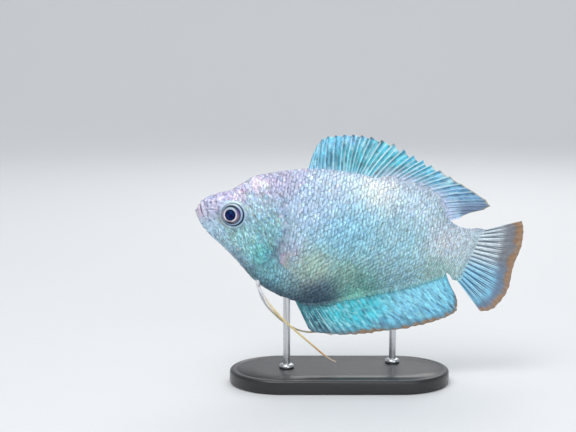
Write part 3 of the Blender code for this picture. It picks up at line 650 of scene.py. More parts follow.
def face_colour(s, h):
    """What only the naked skin of the face shows, over the flank's markings; painted shade in the mouth,
    grooves, nostrils and socket, painted highlights on rims and over the eye.
    """
    grain = 0.24 * speckle(s / 0.42, h / 0.42, 15) + 0.12 * speckle(s / 0.24, h / 0.24, 16)
    rosy = np.clip(speckle(s / 0.62, h / 0.55, 18) - 0.05, 0, 1) * rise(h, -0.5, 1.5)
    creased = np.clip(speckle(s / 0.5, h / 0.42, 19) - 0.22, 0, 1)
    across, down, length = mouth_place(s, h)
    within = fall(down, length + 0.3, 0.5)
    slit_shade_fading = within * np.interp(down / length, (0.0, 0.45, 1.0), (1.0, 0.8, 0.15))
    layers = [
        ((234, 216, 234), np.clip(1.1 * rosy, 0, 0.8)),
        ((96, 106, 146), np.clip(1.6 * creased, 0, 0.7)),
        ((208, 210, 232), 0.7 * hump(np.abs(across) - 0.42, 0.36) * within),
        ((206, 180, 192), 0.6 * hump(across + 0.40, 0.3) * within),
        # Painted shade in the mouth's slit and in the crease behind the lip
        ((36, 40, 72), 0.95 * hump(across, 0.13) * slit_shade_fading),
        ((78, 88, 134), 0.65 * hump(across - 0.98, 0.13) * slit_shade_fading),
    ]
    broken = 0.7 + 0.3 * mottle(s, h, 0.9, 14)
    for line, width, depth in HEAD_GROOVES:
        distance, _, _ = beside(line, s, h, 24)
        # Painted shade along each groove, as strong as the groove is deep, and a painted highlight on its
        # raised edges
        layers.append(((70, 84, 124), (7.5 * depth - 0.1) * hump(distance, width) * broken))
        layers.append(((224, 232, 246), 0.2 * hump(distance - 2.0 * width, width)))
    for at_s, at_h, radius in NOSTRILS:
        r = np.hypot(s - at_s, h - at_h)
        # Painted shade in each nostril's pit and a painted highlight on its rim
        layers.append(((96, 82, 122), 0.75 * hump(r, radius * 0.8)))
        layers.append(((222, 226, 240), 0.5 * hump(r - radius * 1.3, 0.14)))
    ds, dh, r = from_eye(s, h)
    turn = np.arctan2(dh, ds)
    layers += [
        ((160, 186, 212), 0.85 * hump(r - 2.80, 0.22) * (0.6 + 0.4 * arc(turn, 40, 70))),
        # Painted light on the top of the orbit and of the socket's edge, where light falls from above
        ((206, 240, 252), 0.95 * hump(r - 3.0, 0.42) * arc(turn, 95, 55)),
        ((236, 250, 255), 0.95 * hump(r - 2.52, 0.24) * arc(turn, 100, 55)),
        ((110, 122, 158), 0.7 * hump(r - 3.42, 0.10) * np.maximum(arc(turn, 95, 50), arc(turn, 20, 35))),
        ((134, 142, 128), 0.75 * hump(r - 3.1, 0.5) * arc(turn, 222, 40)),
        # Painted shade in the socket round the eye, left out at the top
        ((70, 92, 118), fall(r, 2.7, 0.14) * (1 - 0.97 * arc(turn, 112, 68))),
    ]
    return painted(skin_colour(s, h) * (1 + grain[..., None] * np.array([1.0, 0.9, 0.8])), *layers)


# Where the body's own points lie, worked out once for the skin, the scales and the fins

BODY_GRID, RING_S, HALF_GIRTH = half_body()
BODY_NORMALS = grid_normals(BODY_GRID)
SKIN_GRID = round_the_eye(BODY_GRID)
SKIN_GRID = SKIN_GRID + BODY_NORMALS * relief(SKIN_GRID[..., 0], SKIN_GRID[..., 2])[..., None]
SKIN_GRID[:, (0, -1), 1] = 0.0
MIDDLE = np.array([np.argmin(np.abs(ring[:, 2] - 0.2)) for ring in BODY_GRID]) / SIDE_COLUMNS * HALF_GIRTH
MIDDLE = np.convolve(np.pad(MIDDLE, 6, mode="edge"), np.ones(13) / 13, mode="valid")


def on_grid(grid, s, girth):
    """Points of a half grid at the body's s and so far up round its girth from the keel."""
    ring = np.clip(np.interp(s, RING_S, np.arange(len(RING_S))), 0, len(RING_S) - 1.001)
    column = np.clip(girth / np.interp(s, RING_S, HALF_GIRTH) * SIDE_COLUMNS, 0, SIDE_COLUMNS - 0.001)
    i, j = ring.astype(int), column.astype(int)
    near, far = (mixed(grid[k, j], grid[k, j + 1], column - j) for k in (i, i + 1))
    return mixed(near, far, ring - i)


def unwrapped(s, girth, side):
    """Where a place of the skin lies on its unwrap: the left flank below, the right flank above."""
    u = 0.02 + 0.96 * (s + 0.2) / UNWRAP_LENGTH
    middle = 0.25 if side < 0 else 0.75
    v = middle + (girth - np.interp(s, RING_S, HALF_GIRTH) / 2) / UNWRAP_GIRTH * 0.46
    return np.stack([u, v], -1)


def make_skin(material):
    """One closed skin for all the flesh."""
    rings, columns = len(SKIN_GRID), 2 * SIDE_COLUMNS
    points = np.concatenate([SKIN_GRID, SKIN_GRID[:, -2:0:-1] * MIRRORED], axis=1)
    tint = with_solid(face_colour(points[..., 0], points[..., 2])).reshape(-1, 4)
    ring, column = np.meshgrid(np.arange(rings - 1), np.arange(columns), indexing="ij")
    corners = ((ring, column), (ring, column + 1), (ring + 1, column + 1), (ring + 1, column))
    faces = np.stack([r * columns + c % columns for r, c in corners], -1).reshape(-1, 4)
    snout_end = list(range(columns))[::-1]
    tail_end = [(rings - 1) * columns + c for c in range(columns)]
    on_right = column < SIDE_COLUMNS
    uvs = []
    for r, c in corners:
        girth = np.where(on_right, c, columns - c) / SIDE_COLUMNS * HALF_GIRTH[r]
        place = unwrapped(RING_S[r], girth, -1)
        place[..., 1] += np.where(on_right, 0.5, 0.0)
        uvs.append(place)
    ends = [(0.02, 0.25)] * columns + [(0.98, 0.25)] * columns
    uvs = np.concatenate([np.stack(uvs, axis=2).reshape(-1, 2), ends])
    faces = [*faces.tolist(), snout_end, tail_end]
    return mesh_object("skin", into_world(points.reshape(-1, 3)), faces, material, tint, uvs)


# Scales


def lattice(start, end, size):
    """Roots of scales in staggered rows between two places of the body: s, girth and size."""
    places = []
    s, index = start, 0
    while s < end:
        half_girth = float(np.interp(s, RING_S, HALF_GIRTH))
        middle = float(np.interp(s, RING_S, MIDDLE))
        scale = size(s)
        row = SCALE_ROW * scale
        for j in range(-int(middle / row) - 1, int((half_girth - middle) / row) + 2):
            girth = middle + j * row
            if (index + j) % 2 == 0 and 0.12 < girth < half_girth - 0.12:
                places.append((s, girth, scale))
        s += SCALE_STEP * 0.5 * scale
        index += 1
    return np.array(places)


def trunk_size(s):
    """Scales of the trunk shrink towards the tail as the body does."""
    girth = np.interp(s, RING_S, HALF_GIRTH) / HALF_GIRTH.max()
    return float(np.interp(s, (12.0, 20.0, 57.0, 63.5), (0.72, 1.0, 1.0, 0.7)) * girth**0.42)


def head_size(s):
    return float(np.interp(s, (4.5, 9.0, 20.0), HEAD_SCALES))


def scale_plate(count=PLATE_POINTS):
    """A blunt round plate's grid from -1 to 1: u back, v across, and where that lies on the plate."""
    u, v = np.meshgrid(np.linspace(-1, 1, count), np.linspace(-1, 1, count), indexing="ij")
    x = u * np.sqrt(1 - 0.34 * v * v)
    y = v * np.sqrt(1 - 0.30 * u * u)
    return u.ravel(), v.ravel(), x.ravel(), y.ravel()


def wall_faces(index, away):
    """Faces between the rim of a grid of points and the same rim so many points later."""
    rim = [*index[:, 0], *index[-1, 1:], *index[-2::-1, -1], *index[0, -2:0:-1]]
    return np.array([(p, p + away, q + away, q) for p, q in zip(rim, rim[1:] + rim[:1])])


def plate_faces(count=PLATE_POINTS):
    """Faces of one closed plate: its top grid, its bottom grid and the rim between them."""
    index = np.arange(count * count).reshape(count, count)
    top = np.stack([index[:-1, :-1], index[1:, :-1], index[1:, 1:], index[:-1, 1:]], -1).reshape(-1, 4)
    return np.concatenate([top, top[:, ::-1] + count * count, wall_faces(index, count * count)])


def body_surface(s, girth):
    """Points and normals of the skin's right half."""
    return on_grid(SKIN_GRID, s, girth), on_grid(BODY_NORMALS, s, girth)


def fin_base_surface(edge, sign, lean):
    """The same for the root of a fin, where girth is how far out along the fin a point lies."""

    def at(s, out):
        half_thick = np.interp(out, (-1.0, 0.0, 2.0, 4.0), (0.62, 0.44, 0.33, 0.26))
        points = np.stack([s + lean * out, half_thick, edge_h(edge, s) + sign * out], -1)
        return points, np.broadcast_to(np.array((0.0, 1.0, 0.0)), points.shape)

    return at


def row_lean(s, h):
    """How far the scales of the lower flank turn, so that their free edges slope."""
    return -0.08 - 0.42 * (fall(h, 3.5, 9) * rise(s, 21, 5) * fall(s, 60, 8))


def sheath_colour(edge, sign, fin_colour):
    """The flank's colours, turning into the fin's with the distance from the body's edge."""

    def at(s, h):
        out = sign * (h - edge_h(edge, s))
        return painted(skin_colour(s, h), (fin_colour, rise(out, -0.3, 2.2)))

    return at


def make_coat(name, places, side, material, seed, flat=1.0, tones=0.06, loose=0.11, base_of=None):
    """A coat of closed plates, each rooted in the skin and lying back over the next.

    base_of gives a surface of its own to root in, and its colours.
    """
    rng = np.random.default_rng(seed)
    count = len(places)
    surface, colour_at = base_of or (body_surface, skin_colour)
    u, v, x, y = (np.tile(values, 2) for values in scale_plate())
    upper = np.repeat([1.0, 0.0], len(x) // 2)

    def random(low, high):
        return rng.uniform(low, high, (count, 1))

    def wavering(spread, *more):
        return rng.normal(0, spread, (count, 1, *more))

    s0, girth0, size = (places[:, i : i + 1] for i in range(3))
    length = SCALE_LENGTH * size * random(0.94, 1.06)
    width = SCALE_WIDTH * size * random(0.95, 1.05)
    turn = wavering(loose)
    if base_of is None:
        middle = surface(s0, girth0)[0][:, 0]
        turn = turn + row_lean(middle[:, 0], middle[:, 2])[:, None]
    s0 = s0 + wavering(0.09) * size
    girth0 = girth0 + wavering(0.09) * size
    back, across = x * length / 2, y * width / 2
    along = s0 + back * np.cos(turn) - across * np.sin(turn)
    girth = girth0 + back * np.sin(turn) + across * np.cos(turn)
    base, normal = surface(along, girth)
    lift = SCALE_LIFT * flat * size * random(0.75, 1.25)
    lean = wavering(0.04) * size
    height = -SCALE_SUNK + lift * (x + 1) / 2 + lean * y - 0.05 * size * y * y
    rounded = 1 - 0.55 * np.clip((np.hypot(x, y) - 0.6) / 0.4, 0, 1) ** 2
    points = base + normal * (height + upper * SCALE_THICK * rounded)[..., None]
    middle = surface(s0 + 0.2 * length, girth0)[0][:, 0]
    tint = colour_at(middle[:, 0], middle[:, 2])[:, None, :] * np.ones((1, len(x), 1))
    tone = 1.0 + wavering(tones, 1)
    warmth = wavering(0.6 * tones, 1) * np.array([1.0, 0.15, -0.7])
    green = wavering(0.4 * tones, 1) * np.array([-0.9, 0.4, -0.3])
    tint = tint * (tone + warmth + green)
    faces = (plate_faces()[None] + len(x) * np.arange(count)[:, None, None]).reshape(-1, 4)
    if side < 0:
        points = points * MIRRORED
    else:
        faces = faces[:, ::-1]
    root = unwrapped(places[:, 0], places[:, 1], side)[:, None, :]
    spread = np.stack([x, y], -1)[None] * UNWRAP_SCALE
    uvs = (root + spread).reshape(-1, 2)[faces.ravel()]
    on_scale = np.stack(np.broadcast_arrays(u, v, random(0, 1)), -1)
    tint = with_solid(np.clip(tint, 0.002, 1)).reshape(-1, 4)
    return mesh_object(name, into_world(points.reshape(-1, 3)), faces, material, tint, uvs, on_scale)


def fin_base_places(start, end, rows, size, seed):
    """Staggered rows of small scales that climb from the body on to the root of a fin, ever sparser."""
    rng = np.random.default_rng(seed)
    places = []
    for row in range(rows):
        out = -0.35 + row * SCALE_ROW * 0.62 * size
        shrunk = size * (1 - 0.07 * row)
        for s in np.arange(start, end, SCALE_STEP * 0.8 * size):
            if rng.uniform() > 0.9 * (row / rows) ** 2.5:
                places.append((s + (row % 2) * SCALE_STEP * 0.4 * size, out, shrunk))
    return np.array(places)


def gill_edge_s(h):
    """Where the head ends at h."""
    line = rows_between(GILL_EDGE, 60)[::-1]
    return np.interp(h, line[:, 1], line[:, 0])


def trunk_places():
    places = lattice(11.0, 63.2, trunk_size)
    middle = on_grid(BODY_GRID, places[:, 0], places[:, 1])
    behind = middle[:, 0] - gill_edge_s(middle[:, 2])
    beside_fin = np.hypot(middle[:, 0] - PECTORAL_ROOT[0] - 0.2, middle[:, 2] - PECTORAL_ROOT[1])
    return places[(behind > 0.55) & (beside_fin > 1.0)]


def head_places():
    places = lattice(4.9, 20.5, head_size)
    middle = on_grid(BODY_GRID, places[:, 0], places[:, 1])
    s, h = middle[:, 0], middle[:, 2]
    free_edge, free = gill_flap(s + SCALE_LENGTH * places[:, 2] * 0.5, h)
    _, _, r = from_eye(s, h)
    inside = (s < gill_edge_s(h) + 0.1) & ~((np.abs(free_edge - 0.45) < 0.42) & (free > 0.4))
    snout = s > np.interp(h, (-6.0, -2.5, 0.0, 3.0, 4.5), (5.0, 5.2, 9.0, 9.0, 5.6))
    keel = h - edge_h(BOTTOM_EDGE, s) > 0.5
    return places[inside & snout & keel & (r > 3.35)]


# Fins


def ray_profile(part, share, split_from):
    """How thick a ray is, from 0 to 1, at a part of the way between two rays; soft rays split in two."""
    split = 0.20 * rise(share, split_from, 1 - split_from) if split_from < 1 else 0.0
    return hump(np.minimum(part, 1 - part) - split, RAY_WIDTH)


def fin_grid(roots, tips, rows, per_ray, bow, notch, teeth=None, ragged=0.0, root_in=1.4):
    """A fin's points in its own plane, with each one's place between the rays and share along them."""
    last = len(roots) - 1
    position = np.linspace(0, last, last * per_ray + 1)
    low = np.minimum(position.astype(int), last - 1)
    part = (position - low)[:, None]
    share = np.linspace(0, 1, rows)[None, :]
    root, tip = (blend(ends[low], ends[low + 1], part) for ends in (roots, tips))
    root = root - (tip - root) / np.linalg.norm(tip - root, axis=1)[:, None] * root_in
    shorter = notch * np.sin(math.pi * part[:, 0])
    if teeth is not None:
        shorter = shorter + teeth[low] * np.where(part[:, 0] < 1 - 1e-6, part[:, 0], 0.0)
    shorter = shorter + ragged * (1 + speckle(position * 2.6, 0.4 * position, 51)) / 2
    reach = (tip - root) * (1 - shorter)[:, None]
    aside = np.stack([-reach[:, 1], reach[:, 0]], -1) * bow
    at = root[:, None] + reach[:, None] * share[..., None]
    at = at + aside[:, None] * np.sin(math.pi * share)[..., None]
    length = np.linalg.norm(reach, axis=1)[:, None]
    return at, *np.broadcast_arrays(part, share, position[:, None], length)


def in_the_middle(at, out):
    """Places points of a fin that stands in the fish's own middle plane."""
    return np.stack([at[..., 0], out, at[..., 1]], -1)


def make_fin(name, grid, look, material, split_from, place=in_the_middle, thick=FIN_THICK, wave=0.12):
    """A fin as one closed sheet with raised rays, from its grid; look gives its colours."""
    at, part, share, position, length = grid
    ray = ray_profile(part, share, split_from)
    membrane, at_root, at_tip = thick
    ray_thick = at_root + (at_tip - at_root) * share
    flesh = 0.55 * hump(share * length, 2.0)
    half = (membrane * (1 - 0.45 * share) + (ray_thick - membrane) * ray + flesh) / 2
    drift = wave * share * np.sin(position * 0.55 + 1.3 * share * 3.0)
    middle = drift + 0.10 * share * np.sin(2 * math.pi * part)
    left, right = place(at, middle - half), place(at, middle + half)
    colour, solid = look(left, part, share, position, ray, length)
    count = share.size
    index = np.arange(count).reshape(share.shape)
    quads = np.stack([index[:-1, :-1], index[:-1, 1:], index[1:, 1:], index[1:, :-1]], -1).reshape(-1, 4)
    faces = np.concatenate([quads[:, ::-1], quads + count, wall_faces(index, count)[:, (1, 2, 3, 0)]])
    points = np.concatenate([left.reshape(-1, 3), right.reshape(-1, 3)])
    tint = np.tile(with_solid(np.clip(colour, 0.002, 1), solid).reshape(-1, 4), (2, 1))
    flat = np.stack([position / position.max(), share * 0.48], -1).reshape(-1, 2) * 0.98 + 0.01
    uvs = np.concatenate([flat, flat + (0.0, 0.5)])[faces.ravel()]
    return mesh_object(name, into_world(points), faces, material, tint, uvs)


def uneven_rays(roots, tips, seed, vary):
    """A fin's rays, each a little longer or shorter than drawn."""
    factor = 1 + np.random.default_rng(seed).uniform(-vary, vary, (len(roots), 1))
    return roots, roots + (tips - roots) * factor


def edge_rays(guides, edge, count, seed):
    """Roots and tips of the dorsal or the anal fin's rays."""
    rows = rows_between(guides, count)
    roots = np.stack([rows[:, 0], edge_h(edge, rows[:, 0])], -1)
    return uneven_rays(roots, rows[:, 1:], seed, 0.015)


def grained(colour, position, out, strength, seed):
    """Streaks along the rays and small flecks across them."""
    streak = speckle(position * 3.1, out / 2.4, seed)
    fleck = speckle(position * 5.3, out / 0.7, seed + 1)
    return colour * (1 + strength * (0.5 * streak + 0.6 * fleck))[..., None]


def lined(colour, part, position, ray, pale, contrast):
    """Pale rays with a dark line beside each, and finer lines between them, stronger here and there."""
    here = 0.5 + 0.5 * speckle(np.floor(position) * 1.7, 0.3 + 0 * position, 52)
    shadow = (0.6 + 0.5 * here) * hump(part - 0.19, 0.07) + (0.7 - 0.5 * here) * hump(part - 0.80, 0.07)
    fine = (0.9 - 0.5 * here) * hump(part - 0.50, 0.06)
    bold = ray**3.0 * (1.1 - 0.4 * here)
    lines = ((8, 72, 104), 0.9 * shadow), (pale, fine), (pale, bold)
    return painted(colour, *((tone, np.clip(share * contrast, 0, 1)) for tone, share in lines))


# Each look gives a fin's colours and how solid they are, from every point's place on the fin


def dorsal_look(points, part, share, position, ray, length):
    s, out = points[..., 0], share * length
    violet = rise(share, 0.6, 0.3) * hump(s - 33, 7) * (0.6 + 0.4 * speckle(position / 1.5, out / 2, 23))
    behind = rise(position, 17, 3.5) * rise(out, 3, 2.5)
    glint = np.clip(speckle(position * 3.3, out / 1.3, 28) - 0.15, 0, 1) * (1 - behind)
    patch = hump(part - 0.55, 0.32) * hump(out - 3.6, 2.6) * (0.65 + 0.5 * speckle(position, 0 * out, 26))
    patch *= rise(s, 25, 3) * fall(s, 57, 6)
    colour = painted(
        even_colour((104, 194, 226), s),
        ((70, 192, 212), rise(s, 28, 4)),
        ((84, 188, 220), rise(s, 42, 5)),
        ((90, 160, 204), rise(s, 50, 5)),
        ((140, 166, 226), 0.7 * violet),
        ((104, 122, 152), 0.9 * behind),
    )
    colour = painted(
        grained(colour, position, out, 0.8 - 0.5 * behind, 24),
        ((178, 238, 250), np.clip(1.1 * glint, 0, 0.7)),
        ((10, 84, 104), np.clip(patch, 0, 0.9)),
    )
    contrast = np.interp(position, (0, 3, 5, 10, 18, 24), (0.8, 0.6, 0.6, 1.0, 0.9, 0.9))
    contrast = contrast * (1 - 0.85 * behind * rise(share, 0.3, 0.3))
    colour = lined(colour, part, position, ray, (226, 248, 252), contrast)
    base = np.maximum(0.7 * hump(out, 1.4), rise(s, 36, 8) * hump(out - 1.2, 2.6))
    flesh = linear((204, 210, 236)) * (1 + 0.2 * speckle(s / 0.5, out / 0.5, 27))[..., None]
    colour = mixed(colour, flesh, 0.85 * base * (1 - 0.5 * hump(part - 0.3, 0.12)))
    rim = rise(share, 0.95, 0.04) * rise(position, 13, 3)
    tips = rise(share, 0.92, 0.05) * fall(position, 13, 4) * ray
    colour = painted(colour, ((200, 176, 136), 0.75 * rim), ((34, 52, 74), 0.85 * tips))
    return colour, 1 - 0.2 * rise(share, 0.75, 0.25) * behind


def anal_look(points, part, share, position, ray, length):
    s, out = points[..., 0], share * length
    front = fall(position, 9, 3)
    weak = front * np.where(np.round(position) % 3 == 1, 0.0, 0.75)
    between = hump((position - 1) / 3 % 1 - 0.5, 0.24)
    sloped = position - 0.22 * out
    dash = np.clip(speckle(sloped * 3.4, out / 1.4, 36) - 0.05, 0, 1) * rise(s, 35, 8)
    bright = np.clip(speckle(sloped * 4.4, out / 0.7, 39) - 0.15, 0, 1)
    colour = painted(
        even_colour((50, 178, 196), s),
        ((60, 206, 222), rise(s, 31, 4)),
        ((136, 214, 242), rise(s, 42, 8)),
        ((82, 168, 206), 0.5 * rise(share, 0.5, 0.35) * rise(s, 30, 5)),
    )
    colour = painted(
        grained(colour, position, out, 0.6, 34),
        ((14, 74, 98), np.clip(0.85 * front * between * (0.3 + share), 0, 0.9)),
        ((8, 56, 84), np.clip(front * hump(part - 0.5, 0.34) * (0.5 + 0.7 * share), 0, 0.95)),
        ((30, 88, 140), np.clip(1.2 * dash * (0.4 + 0.6 * share), 0, 0.9)),
        ((164, 242, 252), np.clip(1.2 * bright, 0, 0.7)),
    )
    contrast = np.interp(position, (0, 3, 7, 10, 20, 29), (1.2, 1.2, 1.0, 0.3, 0.15, 0.25))
    colour = lined(colour, part, position, ray, (204, 244, 248), contrast * (1 - weak))
    marks = 1 + 0.5 * speckle(s / 0.7, out / 0.4, 37)
    colour = mixed(colour, linear((88, 178, 178)) * marks[..., None], 0.75 * hump(out - 0.6, 1.7))
    uneven = 0.04 * speckle(position * 1.7, 0 * out, 38) + 0.02 * speckle(position * 5, 0 * out, 40)
    rim = rise(share + uneven, 0.92, 0.05) * rise(s, 34, 8)
    colour = painted(colour, ((96, 136, 158), 0.7 * rise(share, 0.8, 0.14)), ((164, 120, 68), 0.85 * rim))
    return colour, 1 - 0.25 * rise(share, 0.86, 0.14)


def caudal_look(points, part, share, position, ray, length):
    h, out = points[..., 2], share * length

    def above_and_below(high, low):
        return painted(even_colour(high, h), (low, fall(h, 1.5, 6)))

    colour = grained(above_and_below((206, 224, 232), (128, 206, 238)), position, out, 0.6, 44)
    start = share + 0.05 * speckle(position * 2, 0 * out, 45)
    contrast = np.interp(start, (0.10, 0.20, 0.62, 0.78, 0.9), (0.1, 1.0, 1.0, 0.4, 0.1))
    nearest = np.minimum(part, 1 - part)
    gap = np.interp(share, (0.1, 0.45, 0.7), (0.18, 0.24, 0.22))
    dark = hump(np.abs(part - 0.5) - 0.11 * rise(share, 0.42, 0.2), gap)
    dark += 0.45 * hump(nearest, 0.07) * rise(share, 0.38, 0.15)
    white = 0.85 * (hump(nearest - 0.15, 0.08) + hump(part - 0.5, 0.05) * rise(share, 0.45, 0.2))
    dark_tone = above_and_below((66, 84, 104), (36, 92, 132))
    white_tone = above_and_below((240, 248, 252), (196, 240, 255))
    for tone, strength in ((dark_tone, dark), (white_tone, white)):
        colour = mixed(colour, tone, np.clip(strength * contrast, 0, 1))
    marks = 1 + 0.25 * speckle(out / 0.5, h / 0.4, 46)
    flesh = above_and_below((196, 204, 218), (150, 204, 208)) * marks[..., None]
    colour = mixed(colour, flesh, 0.9 * hump(out - 0.4, 1.9))
    uneven = share + 0.04 * speckle(position * 0.9, share * 4, 48)
    uneven = uneven + 0.02 * speckle(position * 3, share * 9, 47)
    grey = above_and_below((110, 112, 120), (104, 122, 148))
    grey_start = np.interp(h, (-12, -6, 0, 8), (0.76, 0.69, 0.62, 0.60))
    colour = mixed(colour, mixed(grey, grey * 1.35, 0.5 * ray), 0.9 * rise(uneven, grey_start, 0.14))
    brown = linear((156, 108, 46)) * (1 + 0.16 * speckle(position * 5, out / 0.6, 49))[..., None]
    rim_start = np.interp(h, (-12, -6, 2, 9), (0.885, 0.86, 0.84, 0.82))
    colour = mixed(colour, brown, 0.92 * rise(uneven, rim_start, 0.1))
    return colour, 1 - 0.35 * rise(share, 0.75, 0.25)


def pectoral_look(points, part, share, position, ray, length):
    root = hump(share * length - 0.2, 1.3)
    colour = painted(
        even_colour((190, 206, 178), share),
        ((206, 220, 212), share),
        ((232, 238, 222), np.clip(ray, 0, 1) * 0.8),
        ((214, 204, 228), 0.95 * root),
    )
    rim_fade = 1 - 0.6 * rise(share, 0.75, 0.25)
    return colour, np.clip((0.02 + 0.13 * ray * (1 - 0.5 * share)) * rim_fade + 0.7 * root, 0, 1)


def dorsal_fin(material):
    teeth = np.interp(np.linspace(0, 1, DORSAL_RAYS), *np.transpose(DORSAL_TEETH))
    rays = edge_rays(DORSAL_GUIDES, TOP_EDGE, DORSAL_RAYS, 81)
    grid = fin_grid(*rays, 40, 12, 0.02, 0.012, teeth, 0.01)
    return make_fin("dorsal_fin_dressed", grid, dorsal_look, material, 1.0)


def anal_fin(material):
    rays = edge_rays(ANAL_GUIDES, BOTTOM_EDGE, ANAL_RAYS, 82)
    grid = fin_grid(*rays, 40, 12, -0.02, 0.01, ragged=0.02)
    return make_fin("anal_fin_dressed", grid, anal_look, material, 0.5)


def tail_fin(material):
    rows = rows_between(CAUDAL_GUIDES, CAUDAL_RAYS)
    roots = np.stack([slanted(DENSE[-1, 0], rows[:, 0]) + GAP, rows[:, 0]], -1)
    rays = uneven_rays(roots, rows[:, 1:], 47, 0.005)
    grid = fin_grid(*rays, 48, 16, 0.0, 0.004, ragged=0.006, root_in=2.2)
    return make_fin("caudal_fin_dressed", grid, caudal_look, material, 0.35)


def pectoral_fin(name, side, material):
    """A fan that grows from the flank behind the gill cover and trails back, clear of the body."""
    s, h = PECTORAL_ROOT
    root_y = max(flank_y(s, h + up) for up in (-PECTORAL_ROOT_HEIGHT / 2, 0, PECTORAL_ROOT_HEIGHT / 2))
    start_y = side * (root_y + GAP + RAY_AT_ROOT / 2 + 0.1)
    turn = side * math.radians(PECTORAL_OUT)

    def place(at, out):
        back = at[..., 0]
        y = out - side * PECTORAL_CAMBER * back * back - side * 0.30 * hump(back, 1.2)
        x, y = turned(back, y, turn)
        return np.stack([s + x, start_y + y, h + at[..., 1]], -1)

    rows = rows_between(PECTORAL_GUIDES, PECTORAL_RAYS)
    roots = np.stack([np.zeros(PECTORAL_RAYS), PECTORAL_ROOT_HEIGHT * (0.5 - rows[:, 0])], -1)
    grid = fin_grid(roots, rows[:, 1:], 30, 10, 0.0, 0.05, root_in=1.1)
    return make_fin(name, grid, pectoral_look, material, 0.45, place, PECTORAL_THICK, 0.10)


def tube(points, radii, square_to, sides):
    """Points and faces round a smooth line with rounded ends, and how many rings they make."""
    points, radii = closed_ends(points, radii)
    along = np.gradient(points, axis=0)
    along /= np.linalg.norm(along, axis=1)[:, None]
    aside = np.cross(along, square_to)
    aside /= np.linalg.norm(aside, axis=1)[:, None]
    third = np.cross(along, aside)
    angles = np.linspace(0, 2 * math.pi, sides, endpoint=False)[None, :, None]
    outward = aside[:, None] * np.cos(angles) + third[:, None] * np.sin(angles)
    rings = points[:, None] + outward * radii[:, None, None]
    return rings.reshape(-1, 3), ring_faces(len(points), sides), len(points)


def ring_faces(rings, sides):
    """Faces between rings of points, closed at both ends by the last rings."""
    k, i = np.meshgrid(np.arange(rings - 1) * sides, np.arange(sides), indexing="ij")
    j = (i + 1) % sides
    return np.stack([k + i, k + j, k + sides + j, k + sides + i], -1).reshape(-1, 4)


def closed_ends(points, radii):
    """Adds a rounded end to both ends of a line, and its radii."""
    start, end = points[0], points[-1]
    back, ahead = start - points[1], end - points[-2]
    back, ahead = back / np.linalg.norm(back), ahead / np.linalg.norm(ahead)
    shares = np.array((0.35, 0.7, 0.95, 1.0))
    first = [start + back * radii[0] * x for x in shares[::-1]]
    last = [end + ahead * radii[-1] * x for x in shares]
    falls = np.sqrt(np.maximum(1 - shares**2, 1e-4))
    radii = np.array([*radii[0] * falls[::-1], *radii, *radii[-1] * falls])
    return np.array([*first, *points, *last]), radii


def pelvic_thread(name, guides, side, material, warm):
    """A long thread that trails from the chest: white, then cream, an orange spot and a paler tip."""
    rows = rows_between(guides, 90)
    points = np.stack([rows[:, 0], side * rows[:, 1], rows[:, 2]], -1)
    root = points[0] + np.array([-0.4, -side * 0.1, 1.15])
    points = np.concatenate([[root], points])
    share = np.linspace(0, 1, len(points))
    radii = np.interp(share, (0, 0.04, 0.12, 0.7, 1.0), (0.46, 0.36, 0.27, 0.22, 0.13))
    grid, faces, rings = tube(points, radii, (0.0, 1.0, 0.0), THREAD_SIDES)
    share = np.clip(np.linspace(-0.04, 1.04, rings), 0, 1)
    colour = painted(
        even_colour((222, 222, 226), share),
        (warm, rise(share, 0.15, 0.3)),
        ((206, 132, 58), 0.8 * hump(share - ORANGE_SHARE, 0.06)),
        ((212, 188, 176), 0.8 * rise(share - ORANGE_SHARE, 0.03, 0.06)),
    )
    colour *= (1 + 0.06 * np.sin(share * 210))[:, None]
    tint = np.repeat(with_solid(np.clip(colour, 0, 1)), THREAD_SIDES, axis=0)
    return mesh_object(name, into_world(grid), faces, material, tint)


# Eyes


def eye_colour(ds, dh):
    """Navy pupil, broken silver ring, taupe and violet iris and a pale blue rim; painted reflection,
    highlight and light at the top, painted shade round the edge.
    """
    r, turn = np.hypot(ds, dh), np.arctan2(dh, ds)
    ps, ph = ds - PUPIL_AT[0], dh - PUPIL_AT[1]
    p, way = np.hypot(ps, ph), np.arctan2(ph, ps)
    pupil = painted(
        even_colour((6, 12, 58), r),
        ((30, 56, 124), 0.7 * np.clip(speckle(ps / 0.3, ph / 0.3, 62) + 0.3, 0, 1)),
        # A painted reflection at the top of the pupil
        ((16, 56, 100), 0.8 * arc(way, 95, 50) * hump(p - 0.95, 0.45)),
        ((4, 6, 34), 0.8 * hump(p - 1.1, 0.16)),
    )
    iris = painted(
        even_colour((128, 122, 134), r),
        ((222, 208, 220), 0.95 * arc(way, 190, 45)),
        ((112, 84, 160), 0.9 * arc(way, 35, 24)),
        ((96, 124, 160), 0.8 * arc(way, 105, 40)),
    )
    silver = 0.45 + 0.55 * np.maximum(arc(way, -35, 60), arc(way, 215, 40))
    iris = painted(
        iris * (1 + 0.14 * speckle(way * 5, p * 4, 61))[..., None],
        ((246, 240, 250), silver * hump(p - 1.40, 0.15)),
        # A painted highlight arc over the top of the iris
        ((210, 246, 255), 0.95 * arc(way, 88, 50) * hump(p - 1.64, 0.15)),
        ((4, 10, 14), 0.97 * arc(way, 271, 28) * hump(p - 1.80, 0.40)),
    )
    colour = mixed(iris, pupil, fall(p, 1.32, 0.12))
    colour = painted(colour, ((44, 44, 84), 0.8 * hump(r - 2.0, 0.10) * (1 - arc(turn, 95, 50))))
    # The pale blue rim, with painted light on its top
    rim = painted(even_colour((182, 208, 234), r), ((236, 250, 255), arc(turn, 100, 50)))
    return painted(
        mixed(colour, rim, rise(r, 2.08, 0.07) * (1 - 0.7 * arc(turn, 205, 45))),
        ((0, 22, 42), 0.98 * np.sqrt(arc(way, 92, 52)) * hump(p - 1.96, 0.34)),
        # Painted shade round the eyeball's edge in its socket, left out at the top
        ((52, 78, 100), 0.9 * rise(r, 2.38, 0.08) * (1 - 0.95 * arc(turn, 118, 62))),
    )


